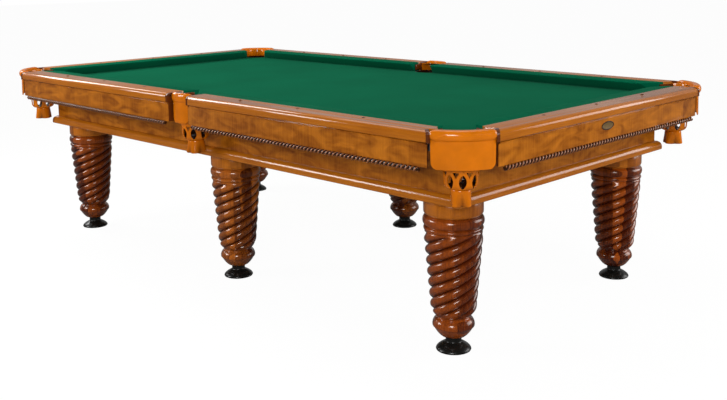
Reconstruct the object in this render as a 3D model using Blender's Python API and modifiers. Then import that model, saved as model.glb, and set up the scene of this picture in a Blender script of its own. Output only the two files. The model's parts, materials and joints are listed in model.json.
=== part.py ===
"""Nine-foot billiard table on six spiral-turned legs, with leather drop pockets.

Metres, +Z up. The origin is on the floor under the middle of the table. +X runs along the table and
+Y across it. Pockets are drawn in a frame of their own: the origin is the middle of the hole, the first
axis points out of the table and the second runs along its edge.
"""

import math

import bmesh
import bpy
from mathutils import Matrix, Vector

# Playing field between the cushion noses, and the heights that everything hangs from
PLAY_LENGTH = 2.540
PLAY_WIDTH = 1.270
RAIL_TOP = 0.785
BED_DEPTH = 0.040
CLOTH_THICKNESS = 0.0017
SLATE_THICKNESS = 0.025
SLATE_SLABS = 3
SLATE_SETBACK = 0.003

# Clearance between pieces that touch
FIT = 0.0003

# Rails: the cap is as wide as what the cushion leaves, and the fascia hangs outside the slate
RAIL_WIDTH = 0.150
CUSHION_WIDTH = 0.072
CUSHION_FOOT = 0.045
NOSE_DROP = 0.0037
NOSE_THICKNESS = 0.005
CAP_HEIGHT = 0.036
CAP_OVERHANG = 0.007
CAP_ROUND = 0.017
CAP_LIP = 0.003
FASCIA_DROP = 0.113
FASCIA_THICKNESS = 0.025
FASCIA_EDGE = 0.002
ROPE_RADIUS = 0.0073
ROPE_SETBACK = 0.022
PLATE_LENGTH = 0.060
PLATE_HEIGHT = 0.032
PLATE_THICKNESS = 0.0015

# Base frame: aprons with a skirt moulding, and the beams that join the legs in pairs
APRON_INSET = 0.162
APRON_THICKNESS = 0.030
APRON_BOTTOM = 0.521
SKIRT_PROUD = 0.022
SKIRT_HEIGHT = 0.029
SKIRT_ROUND = 0.012
SKIRT_STEP = 0.005
SKIRT_COVE = 0.011
BEAM_WIDTH = 0.140
LEG_INSET = 0.108

# Pockets: a backset is the distance of the hole from the outer edge of the rail cap
HOLE_RADIUS = 0.063
COLLAR_THICKNESS = 0.007
COLLAR_REACH = math.radians(126)
CORNER_BACKSET = 0.117
SIDE_BACKSET = 0.087
CORNER_MOUTH = 0.117
SIDE_MOUTH = 0.130
CORNER_CUT = math.radians(142)
SIDE_CUT = math.radians(104)
SADDLE_BACK = 0.014
SADDLE_SEAT = 0.0335
CORNER_FRONT_INSET = 0.074
SIDE_FRONT_INSET = 0.011
SLATE_HOLE_GAP = 0.004

# Leather: the saddle roll stands above the rail, the shield hangs from it, and the net and tail hang behind
ROLL_RISE = 0.010
ROLL_HEIGHT = 0.030
ROLL_PROUD = 0.0055
ROLL_BACK_ROUND = 0.006
SHIELD_THICKNESS = 0.005
SHIELD_DROP = 0.114
SHIELD_CORNER = 0.015
LEATHER_WALL = 0.004
NET_RADIUS = 0.057
NET_DEPTH = 0.071
BELLY_RADIUS = 0.053
BELLY_HEIGHT = 0.018
NECK_RADIUS = 0.030
TAIL_RADIUS = 0.037
TAIL_LENGTH = 0.053
NET_HOLES = 8
NET_HOLE_WIDTH = 0.018
NET_HOLE_HEIGHT = 0.042
NET_HOLE_SIDE = 0.015
WEB_SHARE = 0.9
SWEEP_SPARE = math.radians(2)

# Legs, from the floor up
PAD_RADIUS = 0.059
PAD_NECK = 0.027
PAD_HEIGHT = 0.041
PAD_COLLAR = 0.010
PAD_RIM = 0.006
PAD_CHAMFER = 0.002
STUD_RADIUS = 0.006
STUD_LENGTH = 0.085
STUD_SEAT = 0.012
STUD_CLEARANCE = 0.0004
BORE_SPARE = 0.004
LEG_FOOT_RADIUS = 0.031
COLLAR_TOP_RADIUS = 0.046
COLLAR_RISE = 0.012
BULB_HEIGHT = 0.060
BULB_SWELL = 0.0187
WAIST_RADIUS = 0.0555
TWIST_SHOULDER = 0.007
TWIST_LOW_RADIUS = 0.0735
TWIST_HIGH_RADIUS = 0.098
TWIST_STARTS = 6
TWIST_LEAD = 0.210
TWIST_PHASE = math.radians(30)
STRAND_DEPTH = 0.0105
STRAND_START = 0.35
STRAND_RUN_OUT = 0.045
TWIST_NECK = 0.004
BEAD_NECK_RADIUS = 0.0905
BEAD_HEIGHT = 0.020
BEAD_SWELL = 0.007
RING_HEIGHT = 0.0405
RING_SWELL = 0.008
RING_NECK_RADIUS = 0.0935
DRUM_FLARE = 0.0147
DRUM_HEIGHT = 0.0445
DRUM_RADIUS = 0.099

# Facets
STRAND_POINTS = 3
TWIST_STEPS = 10
ARC_STEP = math.radians(16)
ROUND_SEGMENTS = 14
NET_SEGMENTS = 12
ROPE_SIDES = 8
STUD_SIDES = 10
BULB_STEPS = 4
BEAD_STEPS = 2
RING_STEPS = 3
BELL_STEPS = 3
ROLL_STEPS = 5
LEATHER_STEPS = 3
EAR_STEPS = 4

# Heights and half sizes worked out from those above
BED_TOP = RAIL_TOP - BED_DEPTH
SLATE_TOP = BED_TOP - CLOTH_THICKNESS - FIT
SLATE_BOTTOM = SLATE_TOP - SLATE_THICKNESS
FASCIA_BOTTOM = RAIL_TOP - FASCIA_DROP
HALF_LENGTH = PLAY_LENGTH / 2
HALF_WIDTH = PLAY_WIDTH / 2
CAP_INNER = CUSHION_WIDTH + FIT
CAP_OUTER = RAIL_WIDTH + CAP_OVERHANG
CORNER_SETBACK = CAP_OUTER - CORNER_BACKSET
SIDE_SETBACK = CAP_OUTER - SIDE_BACKSET
SLATE_EDGE = RAIL_WIDTH - FASCIA_THICKNESS - SLATE_SETBACK
APRON_FACE = RAIL_WIDTH - APRON_INSET
LEG_TOP = APRON_BOTTOM - FIT
LEG_BOTTOM = PAD_HEIGHT + FIT
COLLAR_TOP = LEG_BOTTOM + COLLAR_RISE
WAIST = COLLAR_TOP + BULB_HEIGHT
TWIST_LOW = WAIST + TWIST_SHOULDER
DRUM_LOW = LEG_TOP - DRUM_HEIGHT
RING_TOP = DRUM_LOW - DRUM_FLARE
BEAD_TOP = RING_TOP - RING_HEIGHT
BEAD_LOW = BEAD_TOP - BEAD_HEIGHT
TWIST_HIGH = BEAD_LOW - TWIST_NECK
STUD_TOP = STUD_SEAT + STUD_LENGTH
STUD_BORE = (STUD_RADIUS + STUD_CLEARANCE) / math.cos(math.pi / STUD_SIDES)
LEG_X = HALF_LENGTH + APRON_FACE - LEG_INSET
LEG_Y = HALF_WIDTH + APRON_FACE - LEG_INSET
COLLAR_OUTER = HOLE_RADIUS + COLLAR_THICKNESS
ROLL_TOP = RAIL_TOP + ROLL_RISE
ROLL_BOTTOM = ROLL_TOP - ROLL_HEIGHT
SHIELD_BOTTOM = RAIL_TOP - SHIELD_DROP
NET_BOTTOM = SHIELD_BOTTOM - NET_DEPTH
TAIL_BOTTOM = NET_BOTTOM - TAIL_LENGTH
IRON_BOTTOM = SLATE_TOP + FIT
SADDLE_TOP = IRON_BOTTOM + SADDLE_SEAT
SADDLE_INNER = HOLE_RADIUS + LEATHER_WALL

# What differs between a corner pocket and a side pocket: half widths of the notch between the rail ends
# and of the leather, how far out the shield stands, the radius of its bow, the half width at its lower
# edge, and the mouth
CORNER = {
    "name": "corner",
    "notch": 0.118,
    "leather": 0.0985,
    "front": CORNER_BACKSET * math.sqrt(2) - CORNER_FRONT_INSET,
    "bow": 0.182,
    "foot": 0.0985,
    "mouth": CORNER_MOUTH / 2,
    "mouth_depth": CORNER_SETBACK * math.sqrt(2) + CORNER_MOUTH / 2,
    "taper": math.tan(CORNER_CUT - math.radians(135)),
    "edge": (CORNER_SETBACK, 1.0),
}
SIDE = {
    "name": "side",
    "notch": 0.080,
    "leather": 0.0615,
    "front": SIDE_BACKSET - SIDE_FRONT_INSET,
    "bow": 0.126,
    "foot": 0.042,
    "mouth": SIDE_MOUTH / 2,
    "mouth_depth": SIDE_SETBACK,
    "taper": math.tan(SIDE_CUT - math.radians(90)),
    "edge": (SIDE_SETBACK, 0.0),
}

# Colours (linear red, green, blue), roughness, metallic
FINISHES = {
    "honey_walnut": ((0.36, 0.13, 0.030), 0.30, 0.0),
    "dark_walnut": ((0.13, 0.032, 0.010), 0.25, 0.0),
    "frame_timber": ((0.40, 0.24, 0.11), 0.60, 0.0),
    "green_baize": ((0.008, 0.11, 0.045), 0.95, 0.0),
    "slate_grey": ((0.07, 0.075, 0.08), 0.70, 0.0),
    "tan_leather": ((0.52, 0.17, 0.018), 0.35, 0.0),
    "bronzed_iron": ((0.055, 0.016, 0.007), 0.40, 0.6),
    "black_foot": ((0.006, 0.006, 0.007), 0.40, 0.0),
    "stud_steel": ((0.45, 0.45, 0.46), 0.35, 1.0),
    "plate_brass": ((0.45, 0.30, 0.10), 0.35, 1.0),
}


def clear_scene():
    for obj in list(bpy.data.objects):
        bpy.data.objects.remove(obj, do_unlink=True)


def new_collection(name):
    made = bpy.data.collections.new(name)
    bpy.context.scene.collection.children.link(made)
    return made


def new_material(name):
    colour, roughness, metallic = FINISHES[name]
    made = bpy.data.materials.new(name)
    made.use_nodes = True
    shader = made.node_tree.nodes["Principled BSDF"]
    shader.inputs["Base Color"].default_value = (*colour, 1.0)
    shader.inputs["Roughness"].default_value = roughness
    shader.inputs["Metallic"].default_value = metallic
    return made


def node(name, mesh, finish, place=None):
    """A piece of the table: one object with its own material, standing at a place."""
    mesh = mesh.copy()
    mesh.materials.clear()
    mesh.materials.append(MATERIALS[finish])
    mesh.shade_smooth()
    mesh.set_sharp_from_angle(angle=math.radians(38))
    obj = bpy.data.objects.new(name, mesh)
    PARTS.objects.link(obj)
    obj.parent = TABLE
    obj.matrix_world = place or Matrix()
    return obj


def helper(name, mesh, place=None):
    """A cutter or a shape to be joined, which isn't a piece itself."""
    obj = bpy.data.objects.new(name, mesh)
    CUTTERS.objects.link(obj)
    obj.matrix_world = place or Matrix()
    obj.hide_render = True
    obj.display_type = "WIRE"
    return obj


def boolean(obj, other, operation):
    modifier = obj.modifiers.new(other.name, "BOOLEAN")
    modifier.operation = operation
    modifier.solver = "EXACT"
    modifier.object = other


def evaluated_mesh(obj):
    """The object's mesh as its modifiers leave it, in the object's own frame."""
    graph = bpy.context.evaluated_depsgraph_get()
    return bpy.data.meshes.new_from_object(obj.evaluated_get(graph))


def extruded(outline, low, high):
    """A closed flat outline, filled and extruded along Z from low to high, as a mesh."""
    curve = bpy.data.curves.new("outline", "CURVE")
    curve.dimensions = "2D"
    curve.fill_mode = "BOTH"
    curve.extrude = (high - low) / 2
    spline = curve.splines.new("POLY")
    spline.points.add(len(outline) - 1)
    for point, (x, y) in zip(spline.points, outline):
        point.co = (x, y, 0.0, 1.0)
    spline.use_cyclic_u = True
    guide = bpy.data.objects.new("outline", curve)
    CUTTERS.objects.link(guide)
    bpy.context.view_layer.update()
    mesh = evaluated_mesh(guide)
    bpy.data.objects.remove(guide, do_unlink=True)
    bm = bmesh.new()
    bm.from_mesh(mesh)
    bmesh.ops.remove_doubles(bm, verts=bm.verts, dist=1e-6)
    bmesh.ops.translate(bm, verts=bm.verts, vec=(0.0, 0.0, (low + high) / 2))
    bmesh.ops.recalc_face_normals(bm, faces=bm.faces)
    bm.to_mesh(mesh)
    bm.free()
    return mesh


def turned(profile, segments):
    """A profile of (radius, height) points from the axis round to the axis, turned about Z."""
    mesh = bpy.data.meshes.new("profile")
    points = [(radius, 0.0, height) for radius, height in profile]
    mesh.from_pydata(points, [(i, i + 1) for i in range(len(points) - 1)], [])
    guide = helper("profile", mesh)
    screw = guide.modifiers.new("turn", "SCREW")
    screw.steps = segments
    screw.render_steps = segments
    screw.use_merge_vertices = True
    screw.merge_threshold = 1e-5
    made = evaluated_mesh(guide)
    bpy.data.objects.remove(guide, do_unlink=True)
    return made


def arc(centre, radius, start, stop, steps=None):
    """Points along an arc, both ends included."""
    steps = steps or max(2, math.ceil(abs(stop - start) / ARC_STEP))
    angles = [start + (stop - start) * i / steps for i in range(steps + 1)]
    return [(centre[0] + radius * math.cos(a), centre[1] + radius * math.sin(a)) for a in angles]


def polygon(centre, radius, sides):
    """Corners of a regular polygon, the first of them straight out along the first axis."""
    angles = [2 * math.pi * i / sides for i in range(sides)]
    return [(centre[0] + radius * math.cos(a), centre[1] + radius * math.sin(a)) for a in angles]


def clear_of(radius):
    """Radius of a faceted hole whose flats keep clear of a round piece."""
    return (radius + FIT) / math.cos(ARC_STEP / 2)


def facing(angle):
    """Turns what is drawn on the +Y edge of the table to another edge."""
    return Matrix.Rotation(angle, 4, "Z")


def along_edge(outline, low, high, mitre=None):
    """A bar of constant section along the +Y edge. The outline is (outwards, up) and the bar runs in X.

    With a mitre, low and high are the ends at that distance outwards, and the ends slope at 45 degrees.
    """
    mesh = extruded(outline, low, high)
    if mitre is not None:
        middle = (low + high) / 2
        for vertex in mesh.vertices:
            slope = vertex.co.x - mitre
            vertex.co.z += slope if vertex.co.z > middle else -slope
    mesh.transform(Matrix(((0, 0, 1, 0), (1, 0, 0, 0), (0, 1, 0, 0), (0, 0, 0, 1))))
    return mesh


def pocket_places():
    """Each pocket's name, kind, and the matrix that puts its own frame on the table."""
    corner_x = HALF_LENGTH + CORNER_SETBACK
    corner_y = HALF_WIDTH + CORNER_SETBACK
    side_y = HALF_WIDTH + SIDE_SETBACK
    spots = {
        "front_right": (corner_x, -corner_y, -45, CORNER),
        "front_middle": (0.0, -side_y, -90, SIDE),
        "front_left": (-corner_x, -corner_y, -135, CORNER),
        "back_right": (corner_x, corner_y, 45, CORNER),
        "back_middle": (0.0, side_y, 90, SIDE),
        "back_left": (-corner_x, corner_y, 135, CORNER),
    }
    for name, (x, y, turn, kind) in spots.items():
        yield name, kind, Matrix.Translation((x, y, 0.0)) @ Matrix.Rotation(math.radians(turn), 4, "Z")


def keyhole(radius, half_width, shoulder, reach):
    """Outline of a round hole with a slot that leads out of the table from the shoulder."""
    meets = math.atan2(math.sqrt(radius**2 - shoulder**2), shoulder)
    slot = [(shoulder, -half_width), (reach, -half_width), (reach, half_width), (shoulder, half_width)]
    if half_width <= radius * math.sin(meets) + 1e-6:
        slot = slot[1:3]
    return slot + arc((0.0, 0.0), radius, meets, 2 * math.pi - meets)


def mouth_outline(kind, radius):
    """Outline between the two cushion ends: straight facings that lead to the hole."""

    def half_width(u):
        return kind["mouth"] - kind["taper"] * (u + kind["mouth_depth"])

    slope = kind["taper"]
    level = half_width(0.0)
    # Where the facing, half_width = level - slope * u, crosses the circle on the table's side
    a = 1 + slope**2
    b = -2 * level * slope
    c = level**2 - radius**2
    u = (-b - math.sqrt(b * b - 4 * a * c)) / (2 * a)
    meets = math.atan2(half_width(u), u)
    inside = -kind["mouth_depth"] - CUSHION_WIDTH
    start = [(inside, half_width(inside))]
    return start + arc((0.0, 0.0), radius, meets, -meets) + [(inside, -half_width(inside))]


def round_corner(centre, radius, start, stop, steps=None):
    """The same as arc, with its angles in degrees."""
    return arc(centre, radius, math.radians(start), math.radians(stop), steps)


def cap_profile(inner, low):
    """The rail cap's outer edge from its lip over the bullnose to the inner edge, as (outwards, up)."""
    lip = RAIL_TOP - CAP_HEIGHT
    nose = round_corner((CAP_OUTER - CAP_ROUND, RAIL_TOP - CAP_ROUND), CAP_ROUND, 0, 90)
    return [(inner, low), (CAP_OUTER - CAP_LIP, lip), (CAP_OUTER, lip + CAP_LIP), *nose, (inner, RAIL_TOP)]


def rail_profile():
    back = RAIL_WIDTH - FASCIA_THICKNESS
    seat = SLATE_TOP + FIT
    cap = cap_profile(CAP_INNER, seat)
    hung = [
        (back, seat),
        (back, FASCIA_BOTTOM),
        (RAIL_WIDTH - FASCIA_EDGE, FASCIA_BOTTOM),
        (RAIL_WIDTH, FASCIA_BOTTOM + FASCIA_EDGE),
        (RAIL_WIDTH, RAIL_TOP - CAP_HEIGHT),
    ]
    return cap[:1] + hung + cap[1:]


def cushion_profile():
    nose = RAIL_TOP - NOSE_DROP
    foot = BED_TOP + FIT
    return [
        (CUSHION_WIDTH, foot),
        (CUSHION_WIDTH, RAIL_TOP),
        (NOSE_THICKNESS / 2, nose + NOSE_THICKNESS / 4),
        (0.0, nose - NOSE_THICKNESS / 4),
        (NOSE_THICKNESS / 4, nose - NOSE_THICKNESS),
        (CUSHION_WIDTH - CUSHION_FOOT, foot),
    ]


def apron_profile():
    """The board with its skirt: a rounded nose below and a cove that runs back to the board's face."""
    face = APRON_FACE
    nose = face + SKIRT_PROUD
    top = APRON_BOTTOM + SKIRT_HEIGHT
    low = round_corner((nose - SKIRT_ROUND, APRON_BOTTOM + SKIRT_ROUND), SKIRT_ROUND, -90, 0)
    high = round_corner((nose - SKIRT_ROUND, top - SKIRT_ROUND), SKIRT_ROUND, 0, 90)
    cove = round_corner((face + SKIRT_COVE, top + SKIRT_STEP + SKIRT_COVE), SKIRT_COVE, 270, 180)
    back = face - APRON_THICKNESS
    under = SLATE_BOTTOM - FIT
    return [(back, APRON_BOTTOM), *low, *high, *cove, (face, under), (back, under)]


def shifted(outline, along):
    return [(out + along, up) for out, up in outline]


def make_rails():
    """Rails, cushions and rope mouldings: four half-length pieces on the sides and one at each end."""
    corner_x = HALF_LENGTH + CORNER_SETBACK
    corner_y = HALF_WIDTH + CORNER_SETBACK
    reach = RAIL_WIDTH * 2
    cutters = []
    for name, kind, place in pocket_places():
        notch = keyhole(clear_of(COLLAR_OUTER), kind["notch"], SADDLE_BACK, reach)
        mouth = mouth_outline(kind, clear_of(COLLAR_OUTER))
        low, high = FASCIA_BOTTOM - CAP_HEIGHT, RAIL_TOP + CAP_HEIGHT
        cutters.append((
            helper(f"notch_{name}", extruded(notch, low, high), place),
            helper(f"mouth_{name}", extruded(mouth, low, high), place),
        ))

    # Where the rope starts and stops: short of the two rail ends on that stretch
    rope_out = RAIL_WIDTH - ROPE_RADIUS
    corner_end = rope_out - CORNER["notch"] * math.sqrt(2) - ROPE_SETBACK
    side_end = SIDE["notch"] + ROPE_SETBACK
    long_stop = HALF_LENGTH + corner_end
    end_stop = HALF_WIDTH + corner_end
    stretches = {
        "front_left": (math.pi, HALF_WIDTH, 0.0, corner_x, side_end, long_stop),
        "front_right": (math.pi, HALF_WIDTH, -corner_x, 0.0, -long_stop, -side_end),
        "back_right": (0.0, HALF_WIDTH, 0.0, corner_x, side_end, long_stop),
        "back_left": (0.0, HALF_WIDTH, -corner_x, 0.0, -long_stop, -side_end),
        "end_right": (-math.pi / 2, HALF_LENGTH, -corner_y, corner_y, -end_stop, end_stop),
        "end_left": (math.pi / 2, HALF_LENGTH, -corner_y, corner_y, -end_stop, end_stop),
    }
    for name, (turn, nose, low, high, rope_low, rope_high) in stretches.items():
        place = facing(turn)
        timber = along_edge(shifted(rail_profile(), nose), low, high)
        rubber = along_edge(shifted(cushion_profile(), nose), low, high)
        rail = node(f"rail_{name}", timber, "honey_walnut", place)
        cushion = node(f"cushion_{name}", rubber, "green_baize", place)
        for notch, mouth in cutters:
            if near(rail, notch):
                boolean(rail, notch, "DIFFERENCE")
                boolean(cushion, mouth, "DIFFERENCE")
        rope = polygon((nose + rope_out, FASCIA_BOTTOM - FIT - ROPE_RADIUS), ROPE_RADIUS, ROPE_SIDES)
        node(f"rope_{name}", along_edge(rope, rope_low, rope_high), "dark_walnut", place)


def near(obj, cutter):
    """Whether a cutter's hole lies inside the object's box, seen from above."""
    corners = [obj.matrix_world @ vertex.co for vertex in obj.data.vertices]
    spot = cutter.matrix_world.translation
    slack = COLLAR_OUTER
    inside_x = min(p.x for p in corners) - slack < spot.x < max(p.x for p in corners) + slack
    inside_y = min(p.y for p in corners) - slack < spot.y < max(p.y for p in corners) + slack
    return inside_x and inside_y


def make_bed():
    """Three slate slabs and the cloth, notched round the pockets."""
    slate_x = HALF_LENGTH + SLATE_EDGE
    slate_y = HALF_WIDTH + SLATE_EDGE
    slab = 2 * slate_x / SLATE_SLABS
    slabs = []
    for i, name in enumerate(("left", "middle", "right")):
        low = -slate_x + i * slab + FIT / 2
        high = low + slab - FIT
        outline = [(low, -slate_y), (high, -slate_y), (high, slate_y), (low, slate_y)]
        slabs.append(node(f"slate_{name}", extruded(outline, SLATE_BOTTOM, SLATE_TOP), "slate_grey"))
    cloth_x = HALF_LENGTH + CUSHION_WIDTH
    cloth_y = HALF_WIDTH + CUSHION_WIDTH
    outline = [(-cloth_x, -cloth_y), (cloth_x, -cloth_y), (cloth_x, cloth_y), (-cloth_x, cloth_y)]
    cloth = node("bed_cloth", extruded(outline, SLATE_TOP + FIT, BED_TOP), "green_baize")
    hole = HOLE_RADIUS + SLATE_HOLE_GAP
    cloth_hole = clear_of(COLLAR_OUTER)
    reach = RAIL_WIDTH * 2
    for name, kind, place in pocket_places():
        low, high = SLATE_BOTTOM - SLATE_THICKNESS, BED_TOP + SLATE_THICKNESS
        drop = helper(f"drop_{name}", extruded(keyhole(hole, hole, 0.0, reach), low, high), place)
        edge = helper(f"edge_{name}", extruded(keyhole(cloth_hole, cloth_hole, 0.0, reach), low, high), place)
        boolean(cloth, edge, "DIFFERENCE")
        for piece in slabs:
            if near(piece, drop):
                boolean(piece, drop, "DIFFERENCE")


def make_base():
    """Mitred aprons all round, and a beam across each pair of legs."""
    face_x = HALF_LENGTH + APRON_FACE
    face_y = HALF_WIDTH + APRON_FACE
    for name, turn, nose, half in (
        ("front", math.pi, HALF_WIDTH, face_x),
        ("back", 0.0, HALF_WIDTH, face_x),
        ("right", -math.pi / 2, HALF_LENGTH, face_y),
        ("left", math.pi / 2, HALF_LENGTH, face_y),
    ):
        outline = shifted(apron_profile(), nose)
        board = along_edge(outline, FIT - half, half - FIT, mitre=nose + APRON_FACE)
        node(f"apron_{name}", board, "honey_walnut", facing(turn))
    beam_y = face_y - APRON_THICKNESS - FIT
    for name, x in (("left", -LEG_X), ("middle", 0.0), ("right", LEG_X)):
        half = BEAM_WIDTH / 2
        outline = [(x - half, -beam_y), (x + half, -beam_y), (x + half, beam_y), (x - half, beam_y)]
        node(f"cross_beam_{name}", extruded(outline, APRON_BOTTOM, SLATE_BOTTOM - FIT), "frame_timber")


def bow_depth(kind, setback, t):
    """How far out the bowed saddle stands at t along the edge, at a setback behind the shield's front."""
    radius = kind["bow"] - setback
    return kind["front"] - kind["bow"] + math.sqrt(radius**2 - t**2)


def iron_mesh(kind):
    """The casting between two rail ends: a collar round the hole, a bar under the saddle, and two ears."""
    side = kind["notch"] - FIT
    ear = kind["leather"] + FIT
    setback, slope = kind["edge"]
    lean = math.sqrt(2) if slope else 1.0

    def edge(t):
        """The rail cap's outer edge, carried on over the ear."""
        return (CAP_OUTER - setback - FIT) * lean - slope * t

    # The shield's back is faceted, so the bar keeps clear of its chords
    back = SHIELD_THICKNESS + FIT + kind["bow"] * (1 - math.cos(ARC_STEP / 2))
    bar_radius = kind["bow"] - back
    bar_centre = (kind["front"] - kind["bow"], 0.0)
    sweep = math.asin(kind["leather"] / bar_radius)
    shoulder = SADDLE_BACK + FIT
    meets = math.acos(shoulder / COLLAR_OUTER)
    outline = [(shoulder, -side), (edge(side), -side), (edge(ear), -ear)]
    outline += arc(bar_centre, bar_radius, -sweep, sweep)
    outline += [(edge(ear), ear), (edge(side), side), (shoulder, side)]
    outline += arc((0.0, 0.0), COLLAR_OUTER, meets, COLLAR_REACH)
    outline += arc((0.0, 0.0), HOLE_RADIUS, COLLAR_REACH, -COLLAR_REACH)
    outline += arc((0.0, 0.0), COLLAR_OUTER, -COLLAR_REACH, -meets)
    iron = helper("iron", extruded(outline, IRON_BOTTOM, SADDLE_TOP))
    for sign in (-1, 1):
        inner = [(shoulder, sign * ear), (edge(ear), sign * ear)]
        outer = [(edge(side), sign * side), (shoulder, sign * side)]
        ear_piece = helper(f"ear_{sign}", extruded(inner + outer, IRON_BOTTOM, RAIL_TOP))
        round_outer_edge(ear_piece, inner[1], outer[0])
        boolean(iron, ear_piece, "UNION")
    return finished(iron)


def round_outer_edge(obj, first, second):
    """Gives the top edge between two points of an extruded outline the rail cap's bullnose."""
    bm = bmesh.new()
    bm.from_mesh(obj.data)
    ends = (Vector((*first, RAIL_TOP)), Vector((*second, RAIL_TOP)))
    for edge in bm.edges:
        gaps = [min((vertex.co - end).length for end in ends) for vertex in edge.verts]
        if max(gaps) < 1e-5:
            bmesh.ops.bevel(
                bm, geom=[edge], offset=CAP_ROUND, segments=EAR_STEPS, profile=0.5, affect="EDGES"
            )
            break
    bm.to_mesh(obj.data)
    bm.free()


def finished(obj):
    """The object's evaluated mesh. The object and the shapes it was cut or joined with are removed."""
    mesh = evaluated_mesh(obj)
    for modifier in obj.modifiers:
        if modifier.type == "BOOLEAN" and modifier.object:
            bpy.data.objects.remove(modifier.object, do_unlink=True)
    bpy.data.objects.remove(obj, do_unlink=True)
    return mesh


def saddle_section(kind):
    """The saddle roll and the shield below it, cut through the middle, as (outwards, up)."""
    front = kind["front"]
    seat = SADDLE_TOP + FIT
    inside = front - SHIELD_THICKNESS
    back = (SADDLE_INNER + ROLL_BACK_ROUND, ROLL_TOP - ROLL_BACK_ROUND)
    round_back = round_corner(back, ROLL_BACK_ROUND, 180, 90, LEATHER_STEPS)
    roll = []
    for i in range(ROLL_STEPS + 1):
        angle = math.pi * i / ROLL_STEPS
        down = ROLL_HEIGHT * (1 - math.cos(angle)) / 2
        roll.append((front + ROLL_PROUD * math.sin(angle), ROLL_TOP - down))
    shield = [(front, SHIELD_BOTTOM), (inside, SHIELD_BOTTOM), (inside, seat)]
    return [(SADDLE_INNER, seat), *round_back, *roll, *shield]


def saddle_mesh(kind):
    """The section swept along the bow, then trimmed to the outline that shows from the front."""
    mesh = extruded(saddle_section(kind), 0.0, FIT)
    bm = bmesh.new()
    bm.from_mesh(mesh)
    top = [face for face in bm.faces if face.calc_center_median().z < FIT / 4]
    others = [face for face in bm.faces if face not in top]
    bmesh.ops.delete(bm, geom=others, context="FACES")
    bmesh.ops.delete(bm, geom=[v for v in bm.verts if not v.link_faces], context="VERTS")
    bmesh.ops.transform(bm, matrix=Matrix.Rotation(math.radians(90), 4, "X"), verts=bm.verts)
    axis = (kind["front"] - kind["bow"], 0.0, 0.0)
    half = math.asin(kind["leather"] / (kind["bow"] - kind["front"] + SADDLE_INNER)) + SWEEP_SPARE
    bmesh.ops.rotate(bm, verts=bm.verts, cent=axis, matrix=Matrix.Rotation(-half, 3, "Z"))
    steps = max(4, math.ceil(2 * half / ARC_STEP))
    geometry = bm.verts[:] + bm.edges[:] + bm.faces[:]
    bmesh.ops.spin(bm, geom=geometry, cent=axis, axis=(0, 0, 1), angle=2 * half, steps=steps)
    bmesh.ops.recalc_face_normals(bm, faces=bm.faces)
    bm.to_mesh(mesh)
    bm.free()
    swept = helper("saddle", mesh)
    wide, foot, low = kind["leather"], kind["foot"], SHIELD_BOTTOM
    corner_centre = (foot - SHIELD_CORNER, low + SHIELD_CORNER)
    corner = round_corner(corner_centre, SHIELD_CORNER, -90, 0, LEATHER_STEPS)
    right = [*corner, (wide, ROLL_BOTTOM), (wide, ROLL_TOP + ROLL_HEIGHT)]
    front_view = right + [(-t, up) for t, up in reversed(right)]
    trim = extruded(front_view, 0.0, kind["front"] + ROLL_HEIGHT)
    trim.transform(Matrix(((0, 0, 1, 0), (1, 0, 0, 0), (0, 1, 0, 0), (0, 0, 0, 1))))
    boolean(swept, helper("front_view", trim), "INTERSECT")
    return finished(swept)


def basket_profile():
    """Wall of the net from its rim down to the neck, and the flared tail below it, open underneath."""
    wall = LEATHER_WALL
    rim = IRON_BOTTOM - FIT
    belly = NET_BOTTOM + BELLY_HEIGHT
    floor = NET_BOTTOM + wall
    tail = NET_BOTTOM - wall
    return [
        (0.0, floor),
        (NECK_RADIUS, floor),
        (BELLY_RADIUS - wall, belly),
        (NET_RADIUS - wall, SHIELD_BOTTOM),
        (HOLE_RADIUS - wall, rim),
        (HOLE_RADIUS, rim),
        (NET_RADIUS, SHIELD_BOTTOM),
        (BELLY_RADIUS, belly),
        (NECK_RADIUS, NET_BOTTOM),
        (NECK_RADIUS, tail),
        (TAIL_RADIUS, TAIL_BOTTOM),
        (TAIL_RADIUS - wall, TAIL_BOTTOM),
        (NECK_RADIUS - wall, tail - wall),
        (0.0, tail - wall),
    ]


def leather_mesh(kind):
    """Basket, saddle and the web between them as one skin, with the lens-shaped holes of the net."""
    shell = turned(basket_profile(), NET_SEGMENTS)
    # A quarter of a facet keeps the tips of the holes off the facets' edges
    shell.transform(Matrix.Rotation(math.pi / 2 / NET_SEGMENTS, 4, "Z"))
    basket = helper("basket", shell)
    boolean(basket, helper("saddle_joined", saddle_mesh(kind)), "UNION")
    web_low = SHIELD_BOTTOM - LEATHER_WALL
    middle_wall = NET_RADIUS - LEATHER_WALL / 2
    spread = math.asin(min(WEB_SHARE, (kind["foot"] - SHIELD_CORNER) / middle_wall))
    inner = arc((0.0, 0.0), middle_wall, spread, -spread)
    web = [(bow_depth(kind, SHIELD_THICKNESS / 2, t), t) for _, t in reversed(inner)] + inner
    boolean(basket, helper("web", extruded(web, web_low, SHIELD_BOTTOM + LEATHER_WALL / 2)), "UNION")
    middle = (NET_BOTTOM + web_low) / 2 + LEATHER_WALL / 2
    wide, tall, side = NET_HOLE_WIDTH / 2, NET_HOLE_HEIGHT / 2, NET_HOLE_SIDE / 2
    lens = [(0.0, tall), (-wide, side), (-wide, -side), (0.0, -tall), (wide, -side), (wide, side)]
    for i in range(NET_HOLES // 2):
        bar = extruded(lens, -2 * NET_RADIUS, 2 * NET_RADIUS)
        upright = Matrix.Rotation(math.radians(90), 4, "X")
        turn = Matrix.Rotation(2 * math.pi * i / NET_HOLES, 4, "Z")
        bar.transform(Matrix.Translation((0.0, 0.0, middle)) @ turn @ upright)
        boolean(basket, helper(f"lens_{i}", bar), "DIFFERENCE")
    return finished(basket)


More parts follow.
